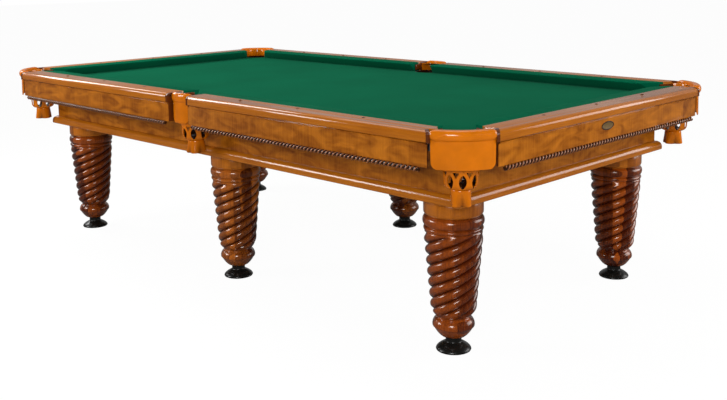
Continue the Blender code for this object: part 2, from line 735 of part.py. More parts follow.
def make_pockets():
    made = {kind["name"]: (iron_mesh(kind), leather_mesh(kind)) for kind in (CORNER, SIDE)}
    for name, kind, place in pocket_places():
        iron, leather = made[kind["name"]]
        node(f"pocket_iron_{name}", iron, "bronzed_iron", place)
        node(f"pocket_leather_{name}", leather, "tan_leather", place)


def swell(low, high, low_radius, high_radius, bulge, steps):
    """Heights and radii of a turned bulb, bead or ring between two necks."""
    for i in range(steps + 1):
        share = i / steps
        neck = low_radius + (high_radius - low_radius) * share
        yield low + (high - low) * share, neck + bulge * math.sin(math.pi * share)


def leg_stations():
    """Rings of the leg from the floor up: height, radius, depth of the valleys between strands, and turn."""
    yield LEG_BOTTOM, LEG_FOOT_RADIUS, 0.0, 0.0
    bulb = swell(COLLAR_TOP, WAIST, COLLAR_TOP_RADIUS, WAIST_RADIUS, BULB_SWELL, BULB_STEPS)
    for height, radius in bulb:
        yield height, radius, 0.0, 0.0
    twist = TWIST_HIGH - TWIST_LOW
    for i in range(TWIST_STEPS + 1):
        share = i / TWIST_STEPS
        radius = TWIST_LOW_RADIUS + (TWIST_HIGH_RADIUS - TWIST_LOW_RADIUS) * share
        # The valleys run out towards both ends of the twist
        cut = min(1.0, STRAND_START + twist * min(share, 1 - share) / STRAND_RUN_OUT)
        radius -= (1 - cut) * STRAND_DEPTH / 2
        yield TWIST_LOW + twist * share, radius, STRAND_DEPTH * cut, twist * share / TWIST_LEAD
    top = twist / TWIST_LEAD
    neck = BEAD_NECK_RADIUS
    bead = list(swell(BEAD_LOW, BEAD_TOP, neck, neck, BEAD_SWELL, BEAD_STEPS))
    ring = list(swell(BEAD_TOP, RING_TOP, neck, RING_NECK_RADIUS, RING_SWELL, RING_STEPS))
    for height, radius in bead + ring[1:]:
        yield height, radius, 0.0, top
    yield DRUM_LOW, DRUM_RADIUS, 0.0, top
    yield LEG_TOP, DRUM_RADIUS, 0.0, top


def leg_mesh():
    """A ring drawn upwards station by station along the blank, so that edges follow the strands."""
    count = TWIST_STARTS * STRAND_POINTS
    bm = bmesh.new()
    bmesh.ops.create_circle(bm, cap_ends=True, segments=count, radius=1.0)
    ring = sorted(bm.verts, key=lambda vertex: math.atan2(vertex.co.y, vertex.co.x))
    stations = list(leg_stations())
    shape_ring(ring, stations[0])
    for station in stations[1:]:
        edges = [edge for edge in bm.edges if edge.verts[0] in ring and edge.verts[1] in ring]
        pairs = bmesh.ops.extrude_edge_only(bm, edges=edges)["geom"]
        fresh = [item for item in pairs if isinstance(item, bmesh.types.BMVert)]
        by_place = {tuple(round(c, 7) for c in vertex.co): vertex for vertex in fresh}
        ring = [by_place[tuple(round(c, 7) for c in vertex.co)] for vertex in ring]
        shape_ring(ring, station)
    bmesh.ops.contextual_create(bm, geom=[edge for edge in bm.edges if edge.is_boundary])
    bmesh.ops.recalc_face_normals(bm, faces=bm.faces)
    mesh = bpy.data.meshes.new("leg")
    bm.to_mesh(mesh)
    bm.free()
    leg = helper("leg", mesh)
    bore = polygon((0.0, 0.0), STUD_BORE, STUD_SIDES)
    boolean(leg, helper("bore", extruded(bore, 0.0, STUD_TOP + BORE_SPARE)), "DIFFERENCE")
    return finished(leg)


def shape_ring(ring, station):
    """Puts one ring of the leg at its height, with a valley at the first point of each strand."""
    height, radius, depth, turn = station
    for i, vertex in enumerate(ring):
        angle = 2 * math.pi * (i / len(ring) + turn) + TWIST_PHASE
        reach = radius - (depth if i % STRAND_POINTS == 0 else 0.0)
        vertex.co = (reach * math.cos(angle), reach * math.sin(angle), height)


def pad_profile():
    """Bell-shaped pad with a blind socket for the stud, from the socket's floor round to the sole."""
    socket = (STUD_RADIUS + STUD_CLEARANCE) / math.cos(math.pi / ROUND_SEGMENTS)
    shoulder = PAD_HEIGHT - PAD_COLLAR
    bell = []
    for i in range(BELL_STEPS + 1):
        angle = math.pi / 2 * i / BELL_STEPS
        out = PAD_RADIUS - (PAD_RADIUS - PAD_NECK) * math.cos(angle)
        bell.append((out, shoulder - (shoulder - PAD_RIM) * math.sin(angle)))
    sole = [(PAD_RADIUS, PAD_CHAMFER), (PAD_RADIUS - PAD_CHAMFER, 0.0), (0.0, 0.0)]
    return [(0.0, STUD_SEAT), (socket, STUD_SEAT), (socket, PAD_HEIGHT), (PAD_NECK, PAD_HEIGHT), *bell, *sole]


def make_legs():
    leg = leg_mesh()
    pad = turned(pad_profile(), ROUND_SEGMENTS)
    stud = extruded(polygon((0.0, 0.0), STUD_RADIUS, STUD_SIDES), STUD_SEAT + FIT, STUD_TOP)
    for row, y in (("front", -LEG_Y), ("back", LEG_Y)):
        for column, x in (("left", -LEG_X), ("middle", 0.0), ("right", LEG_X)):
            place = Matrix.Translation((x, y, 0.0))
            node(f"leg_{row}_{column}", leg, "dark_walnut", place)
            node(f"foot_pad_{row}_{column}", pad, "black_foot", place)
            node(f"foot_stud_{row}_{column}", stud, "stud_steel", place)


def make_plate():
    """A blank oval plate in the middle of the right-hand end fascia."""
    angles = [2 * math.pi * i / ROUND_SEGMENTS for i in range(ROUND_SEGMENTS)]
    oval = [(PLATE_LENGTH / 2 * math.cos(a), PLATE_HEIGHT / 2 * math.sin(a)) for a in angles]
    mesh = extruded(oval, FIT, PLATE_THICKNESS)
    height = (FASCIA_BOTTOM + RAIL_TOP - CAP_HEIGHT) / 2
    upright = Matrix(((0, 0, 1, HALF_LENGTH + RAIL_WIDTH), (1, 0, 0, 0), (0, 1, 0, height), (0, 0, 0, 1)))
    mesh.transform(upright)
    node("oval_plate", mesh, "plate_brass")


clear_scene()
PARTS = new_collection("billiard_table")
CUTTERS = new_collection("cutters")
MATERIALS = {name: new_material(name) for name in FINISHES}
TABLE = bpy.data.objects.new("table_origin", None)
PARTS.objects.link(TABLE)
make_rails()
make_bed()
make_base()
make_pockets()
make_legs()
make_plate()
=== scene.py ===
"""Looks of a nine-foot billiard table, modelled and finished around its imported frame.

Laid out as an add-on with one operator for each group of like pieces. Metres, +Z up, in the frame's axes:
+X runs along the table and +Y across it. Mouldings are drawn along the +Y edge and then turned to theirs. A
pocket has axes of its own, from the middle of its hole: the first points out of the table, the second runs
along its edge.
"""
import json
import math

import bmesh
import bpy
from bpy.props import FloatProperty, FloatVectorProperty, IntProperty, PointerProperty
from mathutils import Matrix, Vector


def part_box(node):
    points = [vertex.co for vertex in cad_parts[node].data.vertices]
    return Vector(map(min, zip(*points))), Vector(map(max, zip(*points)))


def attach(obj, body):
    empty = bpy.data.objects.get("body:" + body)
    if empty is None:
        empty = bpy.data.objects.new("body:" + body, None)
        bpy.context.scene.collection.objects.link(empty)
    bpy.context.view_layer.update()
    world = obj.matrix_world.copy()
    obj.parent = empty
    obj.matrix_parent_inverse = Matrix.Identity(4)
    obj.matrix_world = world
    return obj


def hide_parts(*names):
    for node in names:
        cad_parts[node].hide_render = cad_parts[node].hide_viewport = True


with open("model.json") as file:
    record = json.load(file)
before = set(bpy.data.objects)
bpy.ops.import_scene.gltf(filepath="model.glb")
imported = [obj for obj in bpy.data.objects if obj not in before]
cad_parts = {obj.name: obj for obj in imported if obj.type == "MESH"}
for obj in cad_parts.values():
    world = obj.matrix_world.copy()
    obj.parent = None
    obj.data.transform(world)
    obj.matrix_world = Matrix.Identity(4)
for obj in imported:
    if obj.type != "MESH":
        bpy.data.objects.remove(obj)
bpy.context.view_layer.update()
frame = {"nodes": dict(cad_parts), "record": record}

bl_info = {
    "name": "Billiard table looks",
    "version": (1, 0, 0),
    "blender": (4, 5, 0),
    "location": "3D View > Sidebar > Billiard table",
    "description": "Models and finishes the pieces of a billiard table around its frame",
    "category": "Object",
}

TABLE = "table"


def lowest(node):
    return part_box(node)[0]


def highest(node):
    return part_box(node)[1]


def pocket_centres():
    """Where each pocket's hole stands, from the openings that the record states."""
    found = {}
    for opening in frame["record"]["physics"]["openings"]:
        if opening["name"].startswith("pocket_mouth_"):
            low, high = (Vector(corner) for corner in opening["box_m"])
            middle = (low + high) / 2
            found[opening["name"].removeprefix("pocket_mouth_")] = Vector((middle.x, middle.y, 0.0))
    return found


# Names that repeat
SPOTS = [f"{row}_{column}" for row in ("front", "back") for column in ("left", "middle", "right")]
EDGES = {"front": math.pi, "back": 0.0, "right": -math.pi / 2, "left": math.pi / 2}

# Places read from the frame. Distances outwards start at the cushions' noses
RAIL_TOP = highest("cushion_end_right").z
BED_TOP = highest("bed_cloth").z
BED_BOTTOM = lowest("bed_cloth").z
HALF_LENGTH = lowest("cushion_end_right").x
HALF_WIDTH = lowest("cushion_back_right").y
CUSHION_WIDTH = highest("cushion_end_right").x - HALF_LENGTH
CUSHION_FOOT = lowest("cushion_end_right").z
CAP_INNER = lowest("rail_end_right").x - HALF_LENGTH
CAP_OUTER = highest("rail_end_right").x - HALF_LENGTH
RAIL_SEAT = lowest("pocket_iron_front_middle").z
FASCIA_BOTTOM = lowest("rail_end_right").z
APRON_BACK = lowest("apron_right").x - HALF_LENGTH
SKIRT_OUTER = highest("apron_right").x - HALF_LENGTH
APRON_LOW = lowest("apron_right").z
APRON_HIGH = highest("apron_right").z
LEG_LOW = lowest("leg_front_left").z
LEG_HIGH = highest("leg_front_left").z
PAD_HIGH = highest("foot_pad_front_left").z
LEATHER_TOP = highest("pocket_leather_front_middle").z
LEATHER_LOW = lowest("pocket_leather_front_middle").z
POCKETS = pocket_centres()
CORNER_SETBACK = POCKETS["back_right"].x - HALF_LENGTH
SIDE_SETBACK = POCKETS["back_middle"].y - HALF_WIDTH

# What keeps two pieces that touch from sharing a face
FIT = 0.0003

# Where the drum at the head of a leg starts, above the ring
DRUM_LOW = 0.464

# How much higher the turned foot of the leg ends than the frame's plain one, which the pad's neck makes up
SOLE_RISE = 0.004

# Attributes that the materials read: the inside of the leather, which gets painted shade, the depth between
# two strands or pleats, which also gets painted shade, and the tarnished edge of the plate
INSIDE_SHADE = "inside_shade"
VALLEY = "valley"
TARNISH = "tarnish"

# The two kinds of pocket: half width of the gap between rail ends, of the leather's roll and of its shield,
# the room from the roll to the fascia's end, the roll's height, how far out of the hole's middle the iron's
# dark cheeks reach (they also serve as painted shade in the gap) and the shield stands, the radius of the
# shield's bow and its half width below, and the half width, depth and taper of the mouth between the cushions
CORNER = {
    "name": "corner",
    "gap": 0.110,
    "leather": 0.0985,
    "shield": 0.0975,
    "room": 0.0075,
    "roll": 0.034,
    "shade_cheek": 0.0415,
    "front": 0.0915,
    "bow": 0.182,
    "foot": 0.0960,
    "mouth": 0.0585,
    "mouth_depth": CORNER_SETBACK * math.sqrt(2) + 0.0585,
    "taper": math.tan(math.radians(7)),
}
SIDE = {
    "name": "side",
    "gap": 0.074,
    "leather": 0.0615,
    "shield": 0.0605,
    "room": 0.005,
    "roll": 0.038,
    "shade_cheek": 0.079,
    "front": 0.076,
    "bow": 0.126,
    "foot": 0.046,
    "mouth": 0.065,
    "mouth_depth": SIDE_SETBACK,
    "taper": math.tan(math.radians(14)),
}


def linear(code):
    """An sRGB hex colour as linear red, green and blue."""
    shares = [int(code[i:i + 2], 16) / 255 for i in (1, 3, 5)]
    return tuple(s / 12.92 if s <= 0.04045 else ((s + 0.055) / 1.055) ** 2.4 for s in shares)


def length(name, default, description):
    """A length that a user may change."""
    return FloatProperty(name=name, description=description, default=default, min=0.0, unit="LENGTH")


def colour(name, code, description):
    """A colour that a user may change."""
    return FloatVectorProperty(
        name=name, description=description, default=linear(code), size=3, min=0.0, max=1.0, subtype="COLOR"
    )


class RailSizes(bpy.types.PropertyGroup):
    cap_height: length("Cap height", 0.036, "Height of the rail cap's outer face")
    cap_round: length("Bullnose", 0.017, "Radius of the cap's upper outer edge")
    cap_lip: length("Cap lip", 0.0045, "Radius of the cap's lower outer edge")
    fascia_face: length("Fascia", 0.150, "Distance of the fascia's face from the cushion's nose")
    fascia_thickness: length("Fascia thickness", 0.025, "Thickness of the veneered board")
    groove: length("Groove", 0.0025, "Width and depth of the shadow line under the cap")
    bead: length("Bead", 0.0022, "Radius of the bead under the cap")
    arris: length("Arris", 0.0012, "Rounding of the timber's cut edges")
    nose_drop: length("Nose drop", 0.0037, "How far the cushion's nose lies below the rail's top")
    nose_radius: length("Nose radius", 0.003, "Rounding of the cushion's nose")
    cushion_foot: length("Cushion foot", 0.045, "Width of the cushion where it meets the bed")
    sight: length("Sight", 0.0065, "Radius of the sights let into the caps")
    sight_reach: length("Sight place", 0.0937, "Distance of the sights from the cushion's nose")


class BaseSizes(bpy.types.PropertyGroup):
    board: length("Board", 0.030, "Thickness of the apron's board")
    skirt_height: length("Skirt height", 0.036, "Height of the skirt moulding")
    skirt_face: length("Skirt face", 0.012, "How far up the skirt's upright face goes")
    skirt_round: length("Skirt round", 0.005, "Rounding of the skirt's nose")
    skirt_ledge: length("Skirt ledge", 0.003, "Width of the ledge between the skirt's round and the board")
    rope_radius: length("Rope radius", 0.0083, "Radius over the rope moulding's strands")
    rope_lead: length("Rope lead", 0.0352, "Length of one full turn of the rope moulding")
    rope_reach: length("Rope reach", 0.014, "How far the rope runs on past the frame's plain bar at each end")
    rope_proud: length("Rope proud", 0.0065, "How far the rope stands out of the frame's plain bar")
    rope_depth: FloatProperty(
        name="Rope depth", description="Depth of its grooves as a share of its radius", default=0.42,
        subtype="FACTOR",
    )
    plate_length: length("Plate length", 0.078, "Length of the oval plate")
    plate_height: length("Plate height", 0.030, "Height of the oval plate")


class LegSizes(bpy.types.PropertyGroup):
    strands: IntProperty(name="Strands", description="Strands in the twist", default=6, min=2, max=12)
    lead: length("Lead", 0.2215, "Height in which a strand goes once round the leg")
    strand_depth: FloatProperty(
        name="Strand depth", description="Depth of the valleys as a share of the radius", default=0.145,
        subtype="FACTOR",
    )
    twist_low: length("Twist low", 0.1203, "Height where the twist starts")
    twist_high: length("Twist high", 0.407, "Height where the twist stops")
    low_radius: length("Low radius", 0.0740, "Radius over the strands at the bottom of the twist")
    high_radius: length("High radius", 0.0995, "Radius over the strands at the top of the twist")
    run_out: length("Run-out", 0.030, "Height over which the valleys run out at each end")
    tuck: FloatProperty(
        name="Tuck", description="How far the twist draws in above the waist", default=0.17, subtype="FACTOR"
    )
    bore: length("Bore", 0.0065, "Radius of the hole for the levelling stud")
    bore_depth: length("Bore depth", 0.060, "Depth of the hole for the levelling stud")
    phase: FloatProperty(
        name="Phase", description="Turn of the whole twist on the leg", default=math.radians(57),
        subtype="ANGLE",
    )


class PocketSizes(bpy.types.PropertyGroup):
    hole: length("Hole", 0.063, "Radius of the pocket's hole")
    collar: length("Collar", 0.0715, "Radius that the rails keep clear for the iron")
    saddle_back: length("Saddle back", 0.014, "Where the gap between the rail ends starts")
    # The cheeks are dark plates that stand in partly as painted shade for the gap beside the leather
    iron_drop: length("Iron drop", 0.0079, "How far the iron's bar lies below the rail's top")
    shade_cheek: length("Cheek", 0.0027, "Thickness of the iron's cheeks")
    roll_sink: length("Roll sink", 0.005, "How far the padded roll lies below the frame's plain one")
    roll_taper: length("Roll taper", 0.018, "Length over which the padded roll's ends are rounded off")
    roll_proud: length("Roll proud", 0.0055, "How far the roll stands out over the shield")
    shield: length("Shield", 0.0058, "Thickness of the shield")
    shield_drop: length("Shield drop", 0.124, "Height of the roll and shield together")
    shield_corner: length("Shield corner", 0.021, "Radius of the shield's lower corners")
    net_radius: length("Net radius", 0.057, "Radius of the net below the shield")
    net_depth: length("Net depth", 0.071, "Height of the net below the shield")
    wall: length("Wall", 0.004, "Thickness of the leather")
    holes: IntProperty(name="Holes", description="Lens-shaped holes in the net", default=8, min=4, max=16)
    lens_width: length("Lens width", 0.0235, "Width of the net's lens-shaped holes")
    lens_height: length("Lens height", 0.045, "Height of the net's lens-shaped holes")
    neck: length("Neck", 0.0285, "Radius where the net is gathered")
    tail_radial: length("Tail outwards", 0.033, "Half size of the tail's lower edge, out of the table")
    tail_tangential: length("Tail sideways", 0.030, "Half size of the tail's lower edge, along the table")
    tail_folds: IntProperty(name="Tail folds", description="Pleats in the tail", default=4, min=3, max=16)
    pleat_crest: FloatProperty(
        name="Pleat crest", description="How far a pleat swells out, as a share of the tail's half size",
        default=0.14, subtype="FACTOR",
    )
    pleat_depth: FloatProperty(
        name="Pleat depth", description="Depth between two pleats, as a share of the tail's half size",
        default=0.48, subtype="FACTOR",
    )


class Finishes(bpy.types.PropertyGroup):
    honey: colour("Honey walnut", "#BC6E14", "Light tone of the rail caps and mouldings")
    honey_dark: colour("Honey walnut grain", "#944E0A", "Dark tone of the rail caps and mouldings")
    veneer: colour("Veneer", "#BE701A", "Light tone of the figured veneer")
    veneer_dark: colour("Veneer flame", "#783C0A", "Dark tone of the figured veneer")
    stain: colour("Stained walnut", "#9C480F", "Light tone of the turned legs")
    stain_dark: colour("Stained walnut grain", "#3C0F03", "Dark tone of the turned legs")
    stain_pale: colour("Pale stain", "#B4611C", "Turned legs of the middle pair")
    rope: colour("Rope moulding", "#9C5E36", "Stain of the rope moulding")
    cloth: colour("Cloth", "#02583C", "Dye of the wool cloth")
    leather: colour("Leather", "#D27006", "Dye of the pocket leather")
    # Colour of the painted shade inside the net and down in the tail's pleats
    leather_shade: colour("Flesh side", "#2A1408", "Dark inner side of the pocket leather")
    iron: colour("Bronzed iron", "#66300E", "Bronzing of the pocket irons")
    plate: colour("Brass", "#7E6438", "Satin brass of the oval plate")
    tarnish: colour("Tarnish", "#3A2408", "Tarnished edge of the oval plate")
    foot: colour("Black foot", "#141311", "Black of the levelling feet")
    sight: colour("Sight", "#3A180E", "Dark wood of the sights")


class StageSettings(bpy.types.PropertyGroup):
    floor: colour("Floor", "#C0C0BE", "Pale floor")
    daylight: FloatProperty(name="Daylight", description="Strength of the even light all round", default=0.22)
    mirrored: FloatProperty(
        name="Mirrored wall", description="Strength of the wall that polish mirrors", default=0.38
    )
    mirrored_floor: FloatProperty(
        name="Mirrored floor", description="Strength of the floor as polish mirrors it", default=0.10
    )
    lamp: FloatProperty(name="Lamps", description="Strength of the soft lamps together", default=1.0)


def begin(name, primitive, **settings):
    """Adds a primitive at its size and place, with nothing else selected, and its object at the origin."""
    bpy.ops.object.select_all(action="DESELECT")
    primitive(**settings)
    obj = bpy.context.active_object
    obj.name = name
    bpy.ops.object.transform_apply(location=True, rotation=True, scale=True)
    return obj


def edit(obj):
    """Opens a piece in edit mode with all of it selected."""
    bpy.context.view_layer.objects.active = obj
    bpy.ops.object.mode_set(mode="EDIT")
    bpy.ops.mesh.select_mode(type="VERT")
    bpy.ops.mesh.select_all(action="SELECT")


def leave_edit():
    bpy.ops.object.mode_set(mode="OBJECT")


def select(obj, kind, test):
    """Selects, in edit mode, the vertices, edges or faces that pass a test."""
    bpy.ops.mesh.select_mode(type=kind)
    bpy.ops.mesh.select_all(action="DESELECT")
    shape = bmesh.from_edit_mesh(obj.data)
    shape.verts.index_update()
    for item in {"VERT": shape.verts, "EDGE": shape.edges, "FACE": shape.faces}[kind]:
        if test(item):
            item.select_set(True)
    shape.select_flush_mode()
    bmesh.update_edit_mesh(obj.data)


def extrude(x=0.0, y=0.0, z=0.0):
    bpy.ops.mesh.extrude_region_move(TRANSFORM_OT_translate={"value": (x, y, z)})


def close_up():
    """Merges doubles and turns the faces outwards, in edit mode."""
    bpy.ops.mesh.select_all(action="SELECT")
    bpy.ops.mesh.remove_doubles(threshold=1e-5)
    bpy.ops.mesh.normals_make_consistent(inside=False)


def modify(obj, kind, **settings):
    """Adds a modifier with its settings and applies it."""
    bpy.context.view_layer.objects.active = obj
    modifier = obj.modifiers.new(kind.title(), kind)
    for key, value in settings.items():
        setattr(modifier, key, value)
    bpy.ops.object.modifier_apply(modifier=modifier.name)


def cut(obj, cutter, operation="DIFFERENCE"):
    """Cuts a piece with another shape, which is then removed."""
    modify(obj, "BOOLEAN", object=cutter, operation=operation, solver="EXACT")
    bpy.data.objects.remove(cutter, do_unlink=True)


def soften(obj, width, segments=2, angle=40):
    """Rounds the sharp edges of a piece."""
    modify(
        obj, "BEVEL", width=width, segments=segments, limit_method="ANGLE", angle_limit=math.radians(angle),
        harden_normals=False, miter_outer="MITER_ARC",
    )


def shade(obj, angle=35):
    """Shades a piece smooth apart from its sharp edges."""
    bpy.ops.object.select_all(action="DESELECT")
    obj.select_set(True)
    bpy.context.view_layer.objects.active = obj
    bpy.ops.object.shade_smooth_by_angle(angle=math.radians(angle))


def copied(source, name, place):
    """A copy with its own mesh, with its place in the mesh."""
    bpy.ops.object.select_all(action="DESELECT")
    source.select_set(True)
    bpy.context.view_layer.objects.active = source
    bpy.ops.object.duplicate()
    obj = bpy.context.active_object
    obj.name = name
    obj.matrix_world = place
    bpy.ops.object.transform_apply(location=True, rotation=True, scale=True)
    return obj


def mark(obj, name, domain, share):
    """Gives each point or face of a piece the number that its material reads."""
    items = obj.data.vertices if domain == "POINT" else obj.data.polygons
    values = obj.data.attributes.new(name, "FLOAT", domain).data
    for item, value in zip(items, values):
        value.value = share(item)


def discard(*pieces):
    for obj in pieces:
        bpy.data.objects.remove(obj, do_unlink=True)


def settle(obj, body, slot, finish, *nodes):
    """Gives a finished piece its material, and the body and nodes that it stands for. Its slot is not used.
    """
    obj.data.materials.clear()
    obj.data.materials.append(finish)
    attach(obj, body)
    if nodes:
        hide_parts(*nodes)


def arc(centre, radii, start, stop, steps):
    """Points along a round or oval arc, from one angle in degrees to another."""
    wide, tall = radii if isinstance(radii, tuple) else (radii, radii)
    angles = [math.radians(start + (stop - start) * i / steps) for i in range(steps + 1)]
    return [(centre[0] + wide * math.cos(a), centre[1] + tall * math.sin(a)) for a in angles]


def drawn(name, points):
    """A chain of edges, drawn by extruding one vertex from point to point. It is left in edit mode."""
    obj = begin(name, bpy.ops.mesh.primitive_plane_add)
    edit(obj)
    select(obj, "VERT", lambda vertex: vertex.index > 0)
    bpy.ops.mesh.delete(type="VERT")
    bpy.ops.mesh.select_all(action="SELECT")
    start = bmesh.from_edit_mesh(obj.data).verts[:][0].co.copy()
    bpy.ops.transform.translate(value=Vector(points[0]) - start)
    for here, point in zip(points, points[1:]):
        extrude(*(Vector(point) - Vector(here)))
    return obj


def bar(name, section, low, high):
    """A moulding along X: its section, as (outwards, up) points, drawn, filled and drawn out."""
    obj = drawn(name, [(low, out, up) for out, up in section])
    bpy.ops.mesh.select_all(action="SELECT")
    bpy.ops.mesh.edge_face_add()
    extrude(x=high - low)
    close_up()
    leave_edit()
    return obj


def spun(name, section, steps):
    """A turned piece: (radius, height) points drawn as a chain and spun once round the Z axis."""
    obj = drawn(name, [(radius, 0.0, height) for radius, height in section])
    bpy.ops.mesh.select_all(action="SELECT")
    bpy.ops.mesh.spin(steps=steps, angle=2 * math.pi, center=(0, 0, 0), axis=(0, 0, 1))
    close_up()
    leave_edit()
    return obj


def slice_off(obj, point, normal):
    """Cuts a closed piece on a plane and takes away what lies on the side that the normal points to."""
    edit(obj)
    bpy.ops.mesh.bisect(plane_co=point, plane_no=normal, use_fill=True, clear_outer=True)
    close_up()
    leave_edit()


def block(name, low, high, place=None):
    """A box between two corners, in a place's own axes."""
    low, high = Vector(low), Vector(high)
    obj = begin(name, bpy.ops.mesh.primitive_cube_add, size=1.0, location=(low + high) / 2, scale=high - low)
    obj.matrix_world = place or Matrix()
    return obj


def drum(name, radius, low, high, place):
    """A cylinder between two heights, in a place's own axes."""
    obj = begin(
        name, bpy.ops.mesh.primitive_cylinder_add, vertices=96, radius=radius, depth=high - low,
        location=(0.0, 0.0, (low + high) / 2),
    )
    obj.matrix_world = place
    return obj


def standing(x, y, angle):
    return Matrix.Translation((x, y, 0.0)) @ Matrix.Rotation(angle, 4, "Z")


def turned_to(angle):
    return Matrix.Rotation(angle, 4, "Z")


def stretches():
    """The three kinds of rail, drawn on the +Y edge: the nose's distance from the table's middle, the ends,
    the pockets at the ends, and the name and turn of each rail of that kind."""
    corner_x = HALF_LENGTH + CORNER_SETBACK
    corner_y = HALF_WIDTH + CORNER_SETBACK
    side = (SIDE, standing(0.0, HALF_WIDTH + SIDE_SETBACK, math.pi / 2))
    right = (CORNER, standing(corner_x, corner_y, math.pi / 4))
    left = (CORNER, standing(-corner_x, corner_y, math.pi * 3 / 4))
    end_right = (CORNER, standing(corner_y, corner_x, math.pi / 4))
    end_left = (CORNER, standing(-corner_y, corner_x, math.pi * 3 / 4))
    front, back = EDGES["front"], EDGES["back"]
    yield HALF_WIDTH, 0.0, corner_x, (side, right), {"front_left": front, "back_right": back}
    yield HALF_WIDTH, -corner_x, 0.0, (left, side), {"front_right": front, "back_left": back}
    yield HALF_LENGTH, -corner_y, corner_y, (end_left, end_right), {
        "end_right": EDGES["right"],
        "end_left": EDGES["left"],
    }


def pocket_places():
    """Each pocket's name, kind and the axes of its hole."""
    for spot, centre in POCKETS.items():
        kind = SIDE if spot.endswith("middle") else CORNER
        reach_x = 0.0 if kind is SIDE else math.copysign(1.0, centre.x)
        angle = math.atan2(math.copysign(1.0, centre.y), reach_x)
        yield spot, kind, standing(centre.x, centre.y, angle)


def cut_gap(obj, kind, place, sizes):
    """Cuts away a rail's end: the gap that the iron fills above and the leather below, and the round hole."""
    low, high = FASCIA_BOTTOM - CAP_OUTER, RAIL_TOP + CAP_OUTER
    reach = CAP_OUTER * 3
    shelf = RAIL_SEAT - FIT
    narrow = kind["leather"] + kind["room"]
    cut(obj, block("iron_gap", (sizes.saddle_back, -kind["gap"], shelf), (reach, kind["gap"], high), place))
    cut(obj, block("leather_gap", (sizes.saddle_back, -narrow, low), (reach, narrow, shelf), place))
    cut(obj, drum("hole", sizes.collar, low, high, place))


def cap_section(nose, sizes):
    """Rail cap: a lip below, an upright face and a bullnose over to the flat top."""
    inner = nose + CAP_INNER
    outer = nose + CAP_OUTER
    back = nose + sizes.fascia_face - sizes.fascia_thickness
    lip = RAIL_TOP - sizes.cap_height
    low = arc((outer - sizes.cap_lip, lip + sizes.cap_lip), sizes.cap_lip, -90, 0, 5)
    nosing = arc((outer - sizes.cap_round, RAIL_TOP - sizes.cap_round), sizes.cap_round, 0, 90, 12)
    return [(inner, RAIL_SEAT), (back, RAIL_SEAT), (back, lip), *low, *nosing, (inner, RAIL_TOP)]


def fascia_section(nose, sizes):
    """Veneered board under the cap, with an eased lower edge, a small bead and a shadow line above it."""
    face = nose + sizes.fascia_face
    back = face - sizes.fascia_thickness
    top = RAIL_TOP - sizes.cap_height - FIT
    ease = sizes.groove
    low = arc((face - ease, FASCIA_BOTTOM + ease), ease, -90, 0, 4)
    bead = arc((face, top - ease - sizes.bead), sizes.bead, -90, 90, 6)
    inset = face - ease
    return [(back, FASCIA_BOTTOM), *low, *bead, (inset, top - ease), (inset, top), (back, top)]


def cushion_section(nose, sizes):
    """Rubber cushion: a top that falls to the rounded nose, and an undercut back to the bed."""
    radius = sizes.nose_radius
    centre = (nose + radius, RAIL_TOP - sizes.nose_drop - radius / 2)
    tip = arc(centre, radius, 88, 222, 8)
    back = nose + CUSHION_WIDTH
    return [(back, CUSHION_FOOT), (back, RAIL_TOP), *tip, (back - sizes.cushion_foot, CUSHION_FOOT)]


class TABLE_OT_rails(bpy.types.Operator):
    """Models the rail caps and the veneered fascias below them"""
    bl_idname = "table.rails"
    bl_label = "Rails"

    def execute(self, context):
        rails = context.scene.table_rails
        pockets = context.scene.table_pockets
        for nose, low, high, ends, places in stretches():
            cap = bar("cap", cap_section(nose, rails), low, high)
            fascia = bar("fascia", fascia_section(nose, rails), low, high)
            for piece in (cap, fascia):
                for kind, place in ends:
                    cut_gap(piece, kind, place, pockets)
                soften(piece, rails.arris)
                shade(piece)
            for name, turn in places.items():
                grain = walnut_cap("Y" if name.startswith("end") else "X")
                node = f"rail_{name}"
                settle(copied(cap, f"rail_cap_{name}", turned_to(turn)), TABLE, "honey_walnut", grain, node)
                veneer = copied(fascia, f"rail_fascia_{name}", turned_to(turn))
                settle(veneer, TABLE, "honey_walnut", figured_veneer(), node)
            discard(cap, fascia)
        return {"FINISHED"}


class TABLE_OT_cushions(bpy.types.Operator):
    """Models the rubber cushions in their wool cloth"""
    bl_idname = "table.cushions"
    bl_label = "Cushions"

    def execute(self, context):
        rails = context.scene.table_rails
        pockets = context.scene.table_pockets
        for nose, low, high, ends, places in stretches():
            piece = bar("cushion", cushion_section(nose, rails), low, high)
            middle = Vector(((low + high) / 2, nose, 0.0))
            for kind, place in ends:
                side = math.copysign(1.0, (place.inverted() @ middle).y)
                corner = place @ Vector((-kind["mouth_depth"], side * kind["mouth"], RAIL_TOP))
                facing = place.to_3x3() @ Vector((-kind["taper"], -side, 0.0))
                slice_off(piece, corner, facing)
                cut(piece, drum("hole", pockets.collar, BED_BOTTOM, RAIL_TOP + CAP_OUTER, place))
            soften(piece, rails.arris)
            shade(piece)
            for name, turn in places.items():
                cushion = copied(piece, f"wrapped_cushion_{name}", turned_to(turn))
                settle(cushion, TABLE, "cushion", wool_cloth(), f"cushion_{name}")
            discard(piece)
        return {"FINISHED"}


class TABLE_OT_bed(bpy.types.Operator):
    """Models the bed cloth and finishes the slates below it"""
    bl_idname = "table.bed"
    bl_label = "Bed"

    def execute(self, context):
        pockets = context.scene.table_pockets
        low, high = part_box("bed_cloth")
        cloth = block("bed_cloth_sheet", low, high)
        reach = CAP_OUTER * 2
        for _, _, place in pocket_places():
            cut(cloth, drum("hole", pockets.collar, low.z - 0.01, high.z + 0.01, place))
            slot_low = (0.0, -pockets.collar, low.z - 0.01)
            cut(cloth, block("slot", slot_low, (reach, pockets.collar, high.z + 0.01), place))
        shade(cloth)
        settle(cloth, TABLE, "bed_cloth", wool_cloth(), "bed_cloth")
        slates = [f"slate_{column}" for column in ("left", "middle", "right")]
        for node in slates:
            refinish(node, honed_slate())
        return {"FINISHED"}


